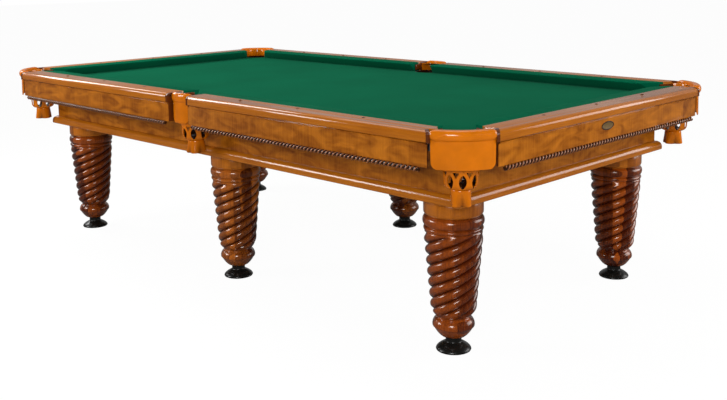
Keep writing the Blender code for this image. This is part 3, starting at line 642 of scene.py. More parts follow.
def refinish(node, finish):
    """Gives a CAD node that stays in view a better material."""
    piece = frame["nodes"][node]
    for slot in piece.material_slots:
        slot.material = finish


class TABLE_OT_base(bpy.types.Operator):
    """Models the aprons with their skirt moulding, and finishes the beams inside"""
    bl_idname = "table.base"
    bl_label = "Base"

    def execute(self, context):
        sizes = context.scene.table_base
        for name, turn in EDGES.items():
            along = name in ("front", "back")
            nose = HALF_WIDTH if along else HALF_LENGTH
            half = (HALF_LENGTH if along else HALF_WIDTH) + SKIRT_OUTER
            grain = walnut_cap("X" if along else "Y")
            for kind, section, finish in (
                ("board", board_section(nose, sizes), figured_veneer()),
                ("skirt", skirt_section(nose, sizes), grain),
            ):
                piece = bar(f"apron_{kind}_{name}", section, -half, half)
                for side in (-1, 1):
                    corner = (side * half, nose + SKIRT_OUTER, APRON_LOW)
                    slice_off(piece, corner, (side, -1.0, 0.0))
                piece.matrix_world = turned_to(turn)
                bpy.ops.object.transform_apply(location=True, rotation=True, scale=True)
                shade(piece)
                settle(piece, TABLE, "honey_walnut", finish, f"apron_{name}")
        for column in ("left", "middle", "right"):
            refinish(f"cross_beam_{column}", planed_pine())
        return {"FINISHED"}


def board_section(nose, sizes):
    """Apron board above the skirt."""
    back = nose + APRON_BACK
    low = APRON_LOW + sizes.skirt_height
    face = back + sizes.board
    return [(back, low), (face, low), (face, APRON_HIGH), (back, APRON_HIGH)]


def skirt_section(nose, sizes):
    """Skirt moulding: an upright face, and a long round over from it to a narrow ledge against the board."""
    back = nose + APRON_BACK
    ledge = back + sizes.board + sizes.skirt_ledge
    outer = nose + SKIRT_OUTER
    top = APRON_LOW + sizes.skirt_height - FIT
    spring = APRON_LOW + sizes.skirt_face
    turn = sizes.skirt_round
    low = arc((outer - turn, APRON_LOW + turn), turn, -90, 0, 5)
    high = arc((ledge, spring), (outer - ledge, top - spring), 0, 90, 14)
    return [(back, APRON_LOW), *low, *high, (back, top)]


class TABLE_OT_ropes(bpy.types.Operator):
    """Models the rope mouldings under the fascias as two strands laid round each other"""
    bl_idname = "table.ropes"
    bl_label = "Rope mouldings"
    strands = 2
    points = 12
    fine_steps = 30

    def execute(self, context):
        sizes = context.scene.table_base
        for names in (("end_right", "end_left"), ("front_right", "front_left", "back_left", "back_right")):
            low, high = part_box(f"rope_{names[0]}")
            span = max(high - low) + 2 * sizes.rope_reach
            rope = self.model(span, sizes.rope_radius, sizes)
            for name in names:
                low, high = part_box(f"rope_{name}")
                middle = (low + high) / 2
                along_y = high.y - low.y > high.x - low.x
                lying = Matrix.Rotation(math.pi / 2, 4, "X" if along_y else "Y")
                proud = Vector((1.0, 0.0, 0.0) if along_y else (0.0, 1.0, 0.0)) * sizes.rope_proud
                middle += proud * math.copysign(1.0, middle.x if along_y else middle.y)
                place = Matrix.Translation(middle) @ lying
                piece = copied(rope, f"rope_moulding_{name}", place)
                settle(piece, TABLE, "dark_walnut", rope_walnut(), f"rope_{name}")
            discard(rope)
        return {"FINISHED"}

    def model(self, span, radius, sizes):
        """A lobed bar that stands on Z, cut into short lengths and twisted."""
        count = self.strands * self.points
        rope = begin(
            "rope", bpy.ops.mesh.primitive_circle_add, vertices=count, radius=radius, fill_type="NGON",
            location=(0.0, 0.0, -span / 2),
        )
        edit(rope)
        extrude(z=span)
        for place in range(self.points // 2):
            away = 1 - place / (self.points / 2)
            depth = sizes.rope_depth * away**2
            select(rope, "VERT", lambda vertex: strand_place(vertex.co, self.strands, self.points) == place)
            bpy.ops.transform.resize(value=(1 - depth, 1 - depth, 1.0), center_override=(0.0, 0.0, 0.0))
        for _ in range(2):
            select(rope, "EDGE", lambda edge: abs(edge.verts[0].co.z - edge.verts[1].co.z) > 1e-4)
            bpy.ops.mesh.subdivide(number_cuts=self.fine_steps - 1)
        close_up()
        leave_edit()
        # The depth between the strands, which the rope's material turns into painted shade
        mark(rope, VALLEY, "POINT", lambda vertex: valley_share(vertex.co, self.strands, self.points))
        modify(
            rope, "SIMPLE_DEFORM", deform_method="TWIST", deform_axis="Z",
            angle=-2 * math.pi * span / sizes.rope_lead,
        )
        shade(rope, 50)
        return rope


def strand_place(point, strands, points):
    """How many steps a point on a ring lies from the nearest valley between strands."""
    step = round(math.atan2(point.y, point.x) / (2 * math.pi) * strands * points) % points
    return min(step, points - step)


def valley_share(point, strands, points):
    """How deep a point on a ring lies between two strands, from none on a crest to one in a valley."""
    return 1 - strand_place(point, strands, points) / (points / 2)


def leg_base():
    """Heights and radii from the sole of the leg up to the twist: a rounded foot, a bulb and the waist."""
    widest = (0.0704, 0.0887)
    sole = (0.0295, LEG_LOW + SOLE_RISE)
    reach = (widest[0] - sole[0], widest[1] - sole[1])
    foot = [(sole[0] + reach[0] * (i / 10) ** 0.56, sole[1] + reach[1] * i / 10) for i in range(9)]
    ridge = [(0.0690, 0.0832), (0.0698, 0.0846)]
    crown = arc((0.0445, widest[1]), (0.0259, 0.0283), 0, 62, 8)
    waist = [(0.0553, 0.1158), (0.0560, 0.1175)]
    return [(height, radius) for radius, height in foot + ridge + crown + waist]


def leg_head(sizes):
    """Heights and radii above the twist: a bead, a broad ring and the drum with its eased lower edge."""
    neck = sizes.twist_high + 0.003
    bead = arc((0.0905, neck + 0.0080), (0.0085, 0.0075), -80, 80, 7)
    ring = arc((0.0905, neck + 0.0340), (0.0115, 0.0172), -80, 80, 10)
    flare = arc((0.0865, neck + 0.0655), (0.0125, 0.0130), -72, 0, 6)
    top = [(0.0990, LEG_HIGH - 0.002), (0.0975, LEG_HIGH)]
    return [(height, radius) for radius, height in bead + ring + flare + top]


def climb(stations, height, radius):
    """Draws the selected ring upwards through heights and radii, in edit mode."""
    for next_height, next_radius in stations:
        extrude(z=next_height - height)
        scale = next_radius / radius
        bpy.ops.transform.resize(value=(scale, scale, 1.0), center_override=(0.0, 0.0, next_height))
        height, radius = next_height, next_radius
    return height, radius


class TABLE_OT_legs(bpy.types.Operator):
    """Turns one spiral leg and stands a copy of it at each place"""
    bl_idname = "table.legs"
    bl_label = "Spiral legs"
    points = 16
    rings = 72

    def execute(self, context):
        sizes = context.scene.table_legs
        leg = self.model(sizes)
        for spot in SPOTS:
            low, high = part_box(f"leg_{spot}")
            middle = (low + high) / 2
            piece = copied(leg, f"turned_leg_{spot}", standing(middle.x, middle.y, sizes.phase))
            settle(piece, TABLE, "dark_walnut", stained_walnut(), f"leg_{spot}")
        discard(leg)
        return {"FINISHED"}

    def model(self, sizes):
        base = leg_base()
        height, radius = base[0]
        leg = begin(
            "leg", bpy.ops.mesh.primitive_circle_add, vertices=sizes.strands * self.points, radius=radius,
            fill_type="NGON", location=(0.0, 0.0, height),
        )
        edit(leg)
        bpy.ops.mesh.inset(thickness=radius - sizes.bore)
        extrude(z=sizes.bore_depth)
        rim = radius - 1e-4
        select(leg, "EDGE", lambda edge: all(math.hypot(v.co.x, v.co.y) > rim for v in edge.verts))
        height, radius = climb(base[1:], height, radius)
        height, radius = climb([(sizes.twist_low, sizes.low_radius)], height, radius)
        height, radius = climb([(sizes.twist_high, sizes.high_radius)], height, radius)
        height, radius = climb(leg_head(sizes), height, radius)
        bpy.ops.mesh.edge_face_add()
        twist = sizes.twist_high - sizes.twist_low
        select(leg, "EDGE", lambda edge: abs(edge.verts[0].co.z - edge.verts[1].co.z) > twist / 2)
        bpy.ops.mesh.subdivide(number_cuts=self.rings - 1)
        self.carve(leg, sizes)
        close_up()
        leave_edit()

        def valley(vertex):
            carved = sizes.twist_low < vertex.co.z < sizes.twist_high
            return valley_share(vertex.co, sizes.strands, self.points) if carved else 0.0

        # The depth between the strands, which the leg's material turns into painted shade
        mark(leg, VALLEY, "POINT", valley)
        sole = base[0][0]
        limits = [(end - sole) / (LEG_HIGH - sole) for end in (sizes.twist_low, sizes.twist_high)]
        modify(
            leg, "SIMPLE_DEFORM", deform_method="TWIST", deform_axis="Z", limits=limits,
            angle=2 * math.pi * twist / sizes.lead,
        )
        shade(leg, 42)
        return leg

    def carve(self, leg, sizes):
        """Draws in the rows between the strands, and lets the valleys run out at both ends."""
        low, high = sizes.twist_low - 1e-4, sizes.twist_high + 1e-4
        for place in range(self.points // 2):
            away = 1 - place / (self.points / 2)
            depth = sizes.strand_depth * away**2.3
            select(leg, "VERT", lambda vertex: low < vertex.co.z < high
                   and strand_place(vertex.co, sizes.strands, self.points) == place)
            bpy.ops.transform.resize(value=(1 - depth, 1 - depth, 1.0), center_override=(0.0, 0.0, 0.0))
        step = (sizes.twist_high - sizes.twist_low) / self.rings
        for ring in range(math.ceil(sizes.run_out / step)):
            flatten = 0.85 * (1 - ring * step / sizes.run_out) ** 2
            for height in (sizes.twist_low + ring * step, sizes.twist_high - ring * step):
                select(leg, "VERT", lambda vertex: abs(vertex.co.z - height) < step / 4)
                bpy.ops.transform.tosphere(value=flatten)
                if height < (sizes.twist_low + sizes.twist_high) / 2:
                    tuck = 1 - sizes.tuck * (1 - ring * step / sizes.run_out) ** 2
                    bpy.ops.transform.resize(value=(tuck, tuck, 1.0), center_override=(0.0, 0.0, height))


class TABLE_OT_feet(bpy.types.Operator):
    """Turns the bell-shaped levelling feet and finishes their studs"""
    bl_idname = "table.feet"
    bl_label = "Levelling feet"

    def execute(self, context):
        low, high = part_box("foot_pad_front_left")
        radius = (high.x - low.x) / 2
        stud_low, stud_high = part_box("foot_stud_front_left")
        stud = (stud_high.x - stud_low.x) / 2 + FIT * 2
        neck = radius * 0.45
        crest = PAD_HIGH + SOLE_RISE
        rim, rise = 0.003, 0.0359
        top = [(stud, stud_low.z), (stud, crest - 0.001), (neck - 0.0015, crest), (neck, crest - 0.0015)]
        cove = [(neck, 0.031), (radius * 0.46, 0.0290), (radius * 0.49, 0.0272)]
        inwards = [0.46 * (1 - i / 9) ** 2 for i in range(10)]
        dome = [(radius * (1 - share), rim + rise * share**0.6) for share in inwards]
        section = [(0.0, stud_low.z), *top, *cove, *dome, (radius * 0.975, 0.0), (0.0, 0.0)]
        pad = spun("pad", section, 72)
        shade(pad, 40)
        for spot in SPOTS:
            low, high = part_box(f"foot_pad_{spot}")
            middle = (low + high) / 2
            piece = copied(pad, f"bell_foot_{spot}", Matrix.Translation((middle.x, middle.y, 0.0)))
            settle(piece, f"foot_{spot}", "black_foot", black_gloss_foot(), f"foot_pad_{spot}")
            refinish(f"foot_stud_{spot}", zinc_stud())
        discard(pad)
        return {"FINISHED"}


class TABLE_OT_irons(bpy.types.Operator):
    """Trims the pocket irons to the rails, eases their edges and adds their cheeks, dark plates that also
    paint the shade of the gaps beside the leather
    """
    bl_idname = "table.irons"
    bl_label = "Pocket irons"

    def execute(self, context):
        for spot, kind, place in pocket_places():
            node = f"pocket_iron_{spot}"
            piece = copied(frame["nodes"][node], f"iron_casting_{spot}", Matrix())
            # A copy of a CAD node still carries the frame's marks
            for key in list(piece.keys()):
                del piece[key]
            edit(piece)
            bpy.ops.mesh.remove_doubles(threshold=1e-5)
            bpy.ops.mesh.dissolve_limited(angle_limit=math.radians(1))
            leave_edit()
            slice_off(piece, (0.0, 0.0, RAIL_TOP - context.scene.table_rails.cap_height), (0.0, 0.0, -1.0))
            for side in (-1, 1):
                end = place @ Vector((0.0, side * (kind["gap"] - FIT), 0.0))
                slice_off(piece, end, place.to_3x3() @ Vector((0.0, side, 0.0)))
            soften(piece, 0.0025, 3)
            shade(piece)
            settle(piece, TABLE, "bronzed_iron", bronzed_iron(), node)
        self.gap_shade_cheeks(context.scene.table_pockets, RAIL_TOP - context.scene.table_rails.cap_height - FIT)
        return {"FINISHED"}

    def gap_shade_cheeks(self, sizes, top):
        """Dark plates that hang from the iron and line the ends of the fascias beside the leather: partly the
        iron's cheeks, partly painted shade for the gap there.
        """
        for spot, kind, place in pocket_places():
            far = kind["leather"] + kind["room"] - FIT
            near = far - sizes.shade_cheek
            for side in (-1, 1):
                low = (sizes.saddle_back, min(side * near, side * far), FASCIA_BOTTOM + 0.001)
                high = (kind["shade_cheek"], max(side * near, side * far), top)
                hand = "left" if side > 0 else "right"
                plate = block("plate", low, high)
                soften(plate, 0.0008)
                shade(plate)
                piece = copied(plate, f"gap_shade_cheek_{spot}_{hand}", place)
                settle(piece, TABLE, "bronzed_iron", bronzed_iron(), f"pocket_iron_{spot}")
                discard(plate)


def saddle_section(kind, sizes):
    """Padded roll over the rail, a crease, and the shield below, cut through the middle."""
    front = kind["front"]
    inner = sizes.hole + sizes.wall
    back = front - sizes.shield
    seat = RAIL_TOP - sizes.iron_drop
    top = LEATHER_TOP - sizes.roll_sink
    roll_low = top - kind["roll"]
    bottom = LEATHER_TOP - sizes.shield_drop
    edge = 0.006
    round_back = arc((inner + edge, top - edge), edge, 180, 100, 5)
    wide = min(0.0135, front + sizes.roll_proud - inner - edge)
    middle = (front + sizes.roll_proud - wide, top - kind["roll"] / 2)
    roll = arc(middle, (wide, kind["roll"] / 2), 86, -72, 16)
    crease = (roll[-1][0] - 0.0002, roll_low - 0.0004)
    fall = (crease[1] - bottom) / 6
    shield = [(crease[0] + 0.0002 * i, crease[1] - fall * i) for i in range(1, 6)]
    lip = arc((shield[-1][0] - 0.0016, bottom + 0.0018), 0.0018, 0, -90, 3)
    return [(inner, seat), *round_back, *roll, crease, *shield, *lip, (back, bottom), (back, seat)]


class TABLE_OT_leathers(bpy.types.Operator):
    """Models the leather pockets: saddle and shield, punched net, and pleated tail"""
    bl_idname = "table.leathers"
    bl_label = "Pocket leathers"
    bow_steps = 60
    # How far the padded roll's core lies behind the shield's face, and how much its ends draw in
    core = 0.008
    pinch = 0.7

    def execute(self, context):
        sizes = context.scene.table_pockets
        saddles = {kind["name"]: self.saddle(kind, sizes) for kind in (CORNER, SIDE)}
        linings = {kind["name"]: self.lining(kind, sizes) for kind in (CORNER, SIDE)}
        net = self.net(sizes)
        tail = self.tail(sizes)
        for spot, kind, place in pocket_places():
            node = f"pocket_leather_{spot}"
            saddle, lining = saddles[kind["name"]], linings[kind["name"]]
            parts = {"saddle": saddle, "lining": lining, "net": net, "tail": tail}
            for name, piece in parts.items():
                leather = copied(piece, f"pocket_{name}_{spot}", place)
                settle(leather, TABLE, "tan_leather", waxed_leather(), node)
        discard(net, tail, *saddles.values(), *linings.values())
        return {"FINISHED"}

    def saddle(self, kind, sizes):
        """The section swept along the bow and trimmed to the outline that shows from the front."""
        axis = Vector((kind["front"] - kind["bow"], 0.0, 0.0))
        half = math.asin(kind["leather"] / (sizes.hole + sizes.wall - axis.x)) + math.radians(2)
        start = Matrix.Translation(axis) @ Matrix.Rotation(half, 4, "Z") @ Matrix.Translation(-axis)
        section = [start @ Vector((out, 0.0, up)) for out, up in saddle_section(kind, sizes)]
        piece = drawn("saddle", section)
        bpy.ops.mesh.select_all(action="SELECT")
        bpy.ops.mesh.edge_face_add()
        bpy.ops.mesh.spin(steps=self.bow_steps, angle=2 * half, center=axis, axis=(0, 0, 1))
        close_up()
        bottom = LEATHER_TOP - sizes.shield_drop
        roll_low = LEATHER_TOP - sizes.roll_sink - kind["roll"]
        top = LEATHER_TOP + 0.02
        for step in range(self.bow_steps + 1):
            self.round_off(piece, kind, sizes, axis, half - 2 * half * step / self.bow_steps)
        leave_edit()
        trim = block("trim", (0.0, -kind["leather"], roll_low), (0.2, kind["leather"], top))
        hung = block("hung", (0.0, -kind["shield"], bottom - FIT), (0.2, kind["shield"], roll_low + 0.001))
        edit(hung)
        select(hung, "FACE", lambda face: face.normal.z < -0.5)
        scale = kind["foot"] / kind["shield"]
        bpy.ops.transform.resize(value=(1.0, scale, 1.0), center_override=(0.0, 0.0, 0.0))
        select(hung, "EDGE", lambda edge: all(v.co.z < bottom for v in edge.verts)
               and abs(edge.verts[0].co.y - edge.verts[1].co.y) < 1e-4)
        bpy.ops.mesh.bevel(offset=sizes.shield_corner, segments=10, profile=0.5, affect="EDGES")
        leave_edit()
        cut(trim, hung, "UNION")
        cut(piece, trim, "INTERSECT")
        edit(piece)
        select(piece, "EDGE", lambda edge: edge.is_convex and edge.calc_face_angle(0.0) > math.radians(40))
        bpy.ops.mesh.bevel(offset=0.0016, segments=3, affect="EDGES", clamp_overlap=True)
        leave_edit()
        shade(piece, 40)
        return piece

    def round_off(self, piece, kind, sizes, axis, angle):
        """Draws one ring of the padded roll in towards its core, the more so the nearer it is to the end."""
        reach = kind["front"] - self.core - axis.x
        inwards = (kind["leather"] - abs(reach * math.sin(angle))) / sizes.roll_taper
        if inwards > 1:
            return
        height = LEATHER_TOP - sizes.roll_sink - kind["roll"] / 2
        share = math.sqrt(1 - self.pinch * (1 - max(inwards, 0.0)) ** 2)
        select(piece, "VERT", lambda vertex: vertex.co.z > height - kind["roll"] / 2
               and abs(math.atan2(vertex.co.y, vertex.co.x - axis.x) - angle) < 1e-4)
        middle = axis + reach * Vector((math.cos(angle), math.sin(angle), 0.0))
        bpy.ops.transform.resize(value=(share, share, share), center_override=(middle.x, middle.y, height))

    def lining(self, kind, sizes):
        """Leather turned over the iron's bar and down into the hole, on the outer half of the pocket."""
        thickness = 0.0022
        outer = sizes.hole - FIT
        inner = outer - thickness
        edge = kind["front"] - 0.012
        low, high = BED_TOP, RAIL_TOP - sizes.iron_drop + FIT + thickness
        under = high - thickness
        section = [(inner, low), (outer, low), (outer, under), (edge, under), (edge, high), (inner, high)]
        piece = spun("lining", [*section, (inner, low)], 96)
        slice_off(piece, (sizes.saddle_back + 0.001, 0.0, 0.0), (-1.0, 0.0, 0.0))
        for side in (-1, 1):
            slice_off(piece, (0.0, side * (kind["leather"] - FIT), 0.0), (0.0, side, 0.0))
        soften(piece, 0.0009)
        shade(piece, 40)
        return piece

    def net(self, sizes):
        """A leather cup with a row of lens-shaped holes and a row of small three-cornered ones above."""
        wall = sizes.wall
        rim = BED_BOTTOM - 0.001
        top = LEATHER_TOP - sizes.shield_drop
        low = top - sizes.net_depth
        outer = [(sizes.hole, rim), (sizes.hole - 0.001, top + 0.03), (sizes.net_radius, top)]
        outer += [(sizes.net_radius - 0.0008 * i, top - 0.009 * i) for i in range(1, 6)]
        outer += arc((sizes.net_radius - 0.024, low + 0.0215), (0.0198, 0.0215), -6, -88, 9)
        outer += [(sizes.neck, low)]
        inner = [(radius - wall, height) for radius, height in outer[:-6]]
        inner += [(sizes.neck - 0.002, low + wall), (0.0, low + wall)]
        net = spun("net", [(0.0, low), *reversed(outer), *inner], 96)
        half = sizes.lens_height / 2
        middle = low + 0.005 + half
        pitch = 2 * math.pi / sizes.holes
        reach = 0.0128
        for i in range(sizes.holes):
            lens = self.lens(sizes.lens_width / 2, half)
            lens.matrix_world = Matrix.Translation((0.0, 0.0, middle)) @ turned_to(i * pitch)
            cut(net, lens)
            three = self.three_corners(reach)
            height = top - 0.0140 - reach / 2
            three.matrix_world = Matrix.Translation((0.0, 0.0, height)) @ turned_to((i + 0.5) * pitch)
            cut(net, three)
        soften(net, 0.0011, 2, 50)
        # Faces that look into the pocket get painted shade from the leather's material
        mark(net, INSIDE_SHADE, "FACE", self.looks_inwards)
        shade(net, 45)
        return net

    def looks_inwards(self, face):
        """Whether a face looks into the pocket, where the leather's material paints it dark as shade."""
        inwards = Vector((face.center.x, face.center.y, 0.0)).normalized().dot(face.normal)
        return 1.0 if inwards < -0.3 or face.normal.z > 0.7 else 0.0

    def lens(self, wide, tall):
        """A bar with a lens-shaped section, from near the pocket's axis outwards: half of it, mirrored."""
        radius = (wide**2 + tall**2) / (2 * wide)
        piece = begin(
            "lens", bpy.ops.mesh.primitive_cylinder_add, vertices=128, radius=radius, depth=0.06,
            location=(0.055, wide - radius, 0.0), rotation=(0.0, math.pi / 2, 0.0),
        )
        slice_off(piece, (0.0, 0.0, 0.0), (0.0, -1.0, 0.0))
        edit(piece)
        select(piece, "FACE", lambda face: face.normal.y < -0.9 and abs(face.calc_center_median().y) < 1e-5)
        bpy.ops.mesh.delete(type="FACE")
        leave_edit()
        modify(piece, "MIRROR", use_axis=(False, True, False), merge_threshold=1e-5)
        return piece

    def three_corners(self, radius):
        """A three-sided bar that points down, with eased corners."""
        piece = begin(
            "three", bpy.ops.mesh.primitive_cylinder_add, vertices=3, radius=radius, depth=0.06,
            location=(0.055, 0.0, 0.0), rotation=(-math.pi / 2, 0.0, math.pi / 2),
        )
        edit(piece)
        select(piece, "EDGE", lambda edge: abs(edge.verts[0].co.x - edge.verts[1].co.x) > 0.05)
        bpy.ops.mesh.bevel(offset=0.0024, segments=4, affect="EDGES")
        leave_edit()
        return piece

    def tail(self, sizes):
        """An oval skirt that hangs from the gathered neck in pleats."""
        top = LEATHER_TOP - sizes.shield_drop - sizes.net_depth
        rows = 9
        points = 8
        count = sizes.tail_folds * points
        height = top + 0.001
        piece = begin(
            "tail", bpy.ops.mesh.primitive_circle_add, vertices=count, radius=sizes.neck - 0.001,
            fill_type="NGON", location=(0.0, 0.0, height),
        )
        edit(piece)
        step = (height - LEATHER_LOW) / rows
        wide, tall = sizes.neck - 0.001, sizes.neck - 0.001
        for row in range(1, rows + 1):
            share = row / rows
            ease = share * share * (3 - 2 * share)
            next_wide = sizes.neck + (sizes.tail_radial - sizes.neck) * ease
            next_tall = sizes.neck + (sizes.tail_tangential - sizes.neck) * ease
            extrude(z=-step)
            if row == 1:
                select(piece, "FACE", lambda face: abs(face.calc_center_median().z - height + step) < 1e-4)
            centre = (0.0, 0.0, height - row * step)
            bpy.ops.transform.resize(value=(next_wide / wide, next_tall / tall, 1.0), center_override=centre)
            wide, tall = next_wide, next_tall
        bpy.ops.mesh.delete(type="ONLY_FACE")
        for row in range(1, rows + 1):
            share = row / rows
            centre = (0.0, 0.0, height - row * step)
            for place in range(points // 2 + 1):
                reach = sizes.pleat_crest - sizes.pleat_depth * (1 - 2 * place / points) ** 2
                select(piece, "VERT", lambda vertex: abs(vertex.co.z - height + row * step) < 1e-4
                       and self.fold_place(vertex, sizes, points) == place)
                scale = 1 + reach * share**1.5
                bpy.ops.transform.resize(value=(scale, scale, 1.0), center_override=centre)
        leave_edit()

        # How deep a point lies in a pleat, more so towards the lower edge: the leather's material darkens it
        # as painted shade
        def crease(vertex):
            away = 2 * self.fold_place(vertex, sizes, points) / points
            return (1 - away) * (height - vertex.co.z) / (rows * step)

        mark(piece, VALLEY, "POINT", crease)
        modify(piece, "SOLIDIFY", thickness=0.0032, offset=-1.0)
        modify(piece, "SUBSURF", levels=1, render_levels=1)
        shade(piece, 60)
        return piece

    def fold_place(self, vertex, sizes, points):
        """How many steps a point lies from the nearest valley between pleats, on the oval it was drawn as."""
        on_round = Vector((vertex.co.x / sizes.tail_radial, vertex.co.y / sizes.tail_tangential))
        return strand_place(on_round, sizes.tail_folds, points)


class TABLE_OT_plate(bpy.types.Operator):
    """Models the blank oval plate on the end fascia"""
    bl_idname = "table.plate"
    bl_label = "Oval plate"

    def execute(self, context):
        sizes = context.scene.table_base
        low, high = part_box("oval_plate")
        off_middle = Vector((0.0, -0.018, 0.008))
        middle = (low + high) / 2 + off_middle
        centre = (low.x, middle.y, middle.z)
        plate = begin(
            "blank_oval_plate", bpy.ops.mesh.primitive_circle_add, vertices=96, radius=0.5, fill_type="NGON",
            location=centre, rotation=(0.0, math.pi / 2, 0.0),
        )
        edit(plate)
        bpy.ops.transform.resize(value=(1.0, sizes.plate_length, sizes.plate_height), center_override=centre)
        extrude(x=high.x - low.x)
        bpy.ops.mesh.inset(thickness=0.0030)
        bpy.ops.mesh.inset(thickness=0.0008)
        bpy.ops.transform.translate(value=(-0.0006, 0.0, 0.0))
        close_up()
        leave_edit()
        soften(plate, 0.0003, 2, 30)
        shade(plate, 50)

        def near_edge(face):
            across = (face.center.y - middle.y) / (sizes.plate_length / 2)
            up = (face.center.z - middle.z) / (sizes.plate_height / 2)
            return 1.0 if math.hypot(across, up) > 0.75 else 0.0

        mark(plate, TARNISH, "FACE", near_edge)
        settle(plate, TABLE, "plate_brass", satin_brass(), "oval_plate")
        return {"FINISHED"}


class TABLE_OT_sights(bpy.types.Operator):
    """Lets the sights into the rail caps, at eighths of the length and quarters of the width"""
    bl_idname = "table.sights"
    bl_label = "Sights"

    def execute(self, context):
        sizes = context.scene.table_rails
        spacing = HALF_LENGTH / 4
        radius = sizes.sight
        dome = [(radius * share, 0.0015 * (1 - share**2)) for share in (1.0, 0.8, 0.6, 0.4, 0.2, 0.0)]
        section = [(0.0, -0.002), (radius, -0.002), *dome]
        sight = spun("sight", section, 32)
        shade(sight, 40)
        spots = []
        for side in (-1, 1):
            across = side * (HALF_WIDTH + sizes.sight_reach)
            spots += [(step * spacing, across) for step in (-3, -2, -1, 1, 2, 3)]
            along = side * (HALF_LENGTH + sizes.sight_reach)
            spots += [(along, step * spacing) for step in (-1, 0, 1)]
        for i, (x, y) in enumerate(spots):
            piece = copied(sight, f"sight_{i + 1:02d}", Matrix.Translation((x, y, RAIL_TOP)))
            settle(piece, TABLE, "dark_walnut", rosewood_sight())
        discard(sight)
        return {"FINISHED"}


def add(material, kind, settings=None, links=None):
    """Adds one node to a material, with its settings and what feeds its sockets."""
    node = material.node_tree.nodes.new(kind)
    for key, value in (settings or {}).items():
        if isinstance(key, int) or key in node.inputs:
            node.inputs[key].default_value = value
        else:
            setattr(node, key, value)
    for key, source in (links or {}).items():
        material.node_tree.links.new(source, node.inputs[key])
    return node


def new_material(name, sockets):
    """A material with one Principled shader, whose constant sockets are set here."""
    material = bpy.data.materials.new(name)
    material.use_nodes = True
    shader = material.node_tree.nodes["Principled BSDF"]
    for key, value in sockets.items():
        shader.inputs[key].default_value = value
    return material, shader


def feed(material, shader, **sources):
    """Links sources to the shader's sockets, named with underscores for spaces."""
    for key, source in sources.items():
        material.node_tree.links.new(source, shader.inputs[key.replace("_", " ").title()])


def opaque(value, share=1.0):
    """A colour as a socket takes it, whole or as a darker share of itself."""
    return (*(part * share for part in value), 1.0)


def kept(make):
    """Makes a material the first time it is asked for, and hands out the same one afterwards."""
    made = {}

    def ask(*choices):
        if choices not in made:
            made[choices] = make(*choices)
        return made[choices]

    return ask


@kept
def walnut_cap(along):
    """Solid walnut, moulded, stained honey and lacquered: fine dark pores along the length, slow changes of
    tone, and a satin coat that takes long soft highlights. Real pores are under half a millimetre wide, too
    fine to show, so they are drawn at 3.5 mm."""
    looks = bpy.context.scene.table_finishes
    material, shader = new_material(
        f"walnut_solid_honey_lacquer_{along.lower()}",
        {"Roughness": 0.42, "Specular IOR Level": 0.0, "Coat Weight": 1.0, "Coat Roughness": 0.16},
    )
    place = add(material, "ShaderNodeTexCoord").outputs["Object"]
    fine, slow = 1 / 0.0035, 1 / 0.16
    grain_scale = (slow, fine, fine) if along == "X" else (fine, slow, fine)
    grain_place = add(material, "ShaderNodeMapping", {"Scale": grain_scale}, {"Vector": place})
    grain = add(
        material, "ShaderNodeTexNoise", {"Scale": 1.0, "Detail": 6.0, "Roughness": 0.62, "Distortion": 0.25},
        {"Vector": grain_place.outputs["Vector"]},
    )
    tone = add(material, "ShaderNodeTexNoise", {"Scale": 1 / 0.22, "Detail": 2.0}, {"Vector": place})
    blend = add(
        material, "ShaderNodeMath", {"operation": "MULTIPLY_ADD", 1: 0.75, 2: -0.02},
        {0: grain.outputs["Fac"]},
    )
    mixed = add(
        material, "ShaderNodeMath", {"operation": "MULTIPLY_ADD", 1: 0.35},
        {0: tone.outputs["Fac"], 2: blend.outputs["Value"]},
    )
    share = add(
        material, "ShaderNodeMapRange", {"From Min": 0.34, "From Max": 0.74},
        {"Value": mixed.outputs["Value"]},
    )
    wood = add(
        material, "ShaderNodeMix",
        {"data_type": "RGBA", 6: opaque(looks.honey_dark), 7: opaque(looks.honey)},
        {0: share.outputs["Result"]},
    )
    bump = add(
        material, "ShaderNodeBump", {"Strength": 0.12, "Distance": 0.0004}, {"Height": grain.outputs["Fac"]}
    )
    feed(material, shader, base_color=wood.outputs[2], normal=bump.outputs["Normal"])
    return material


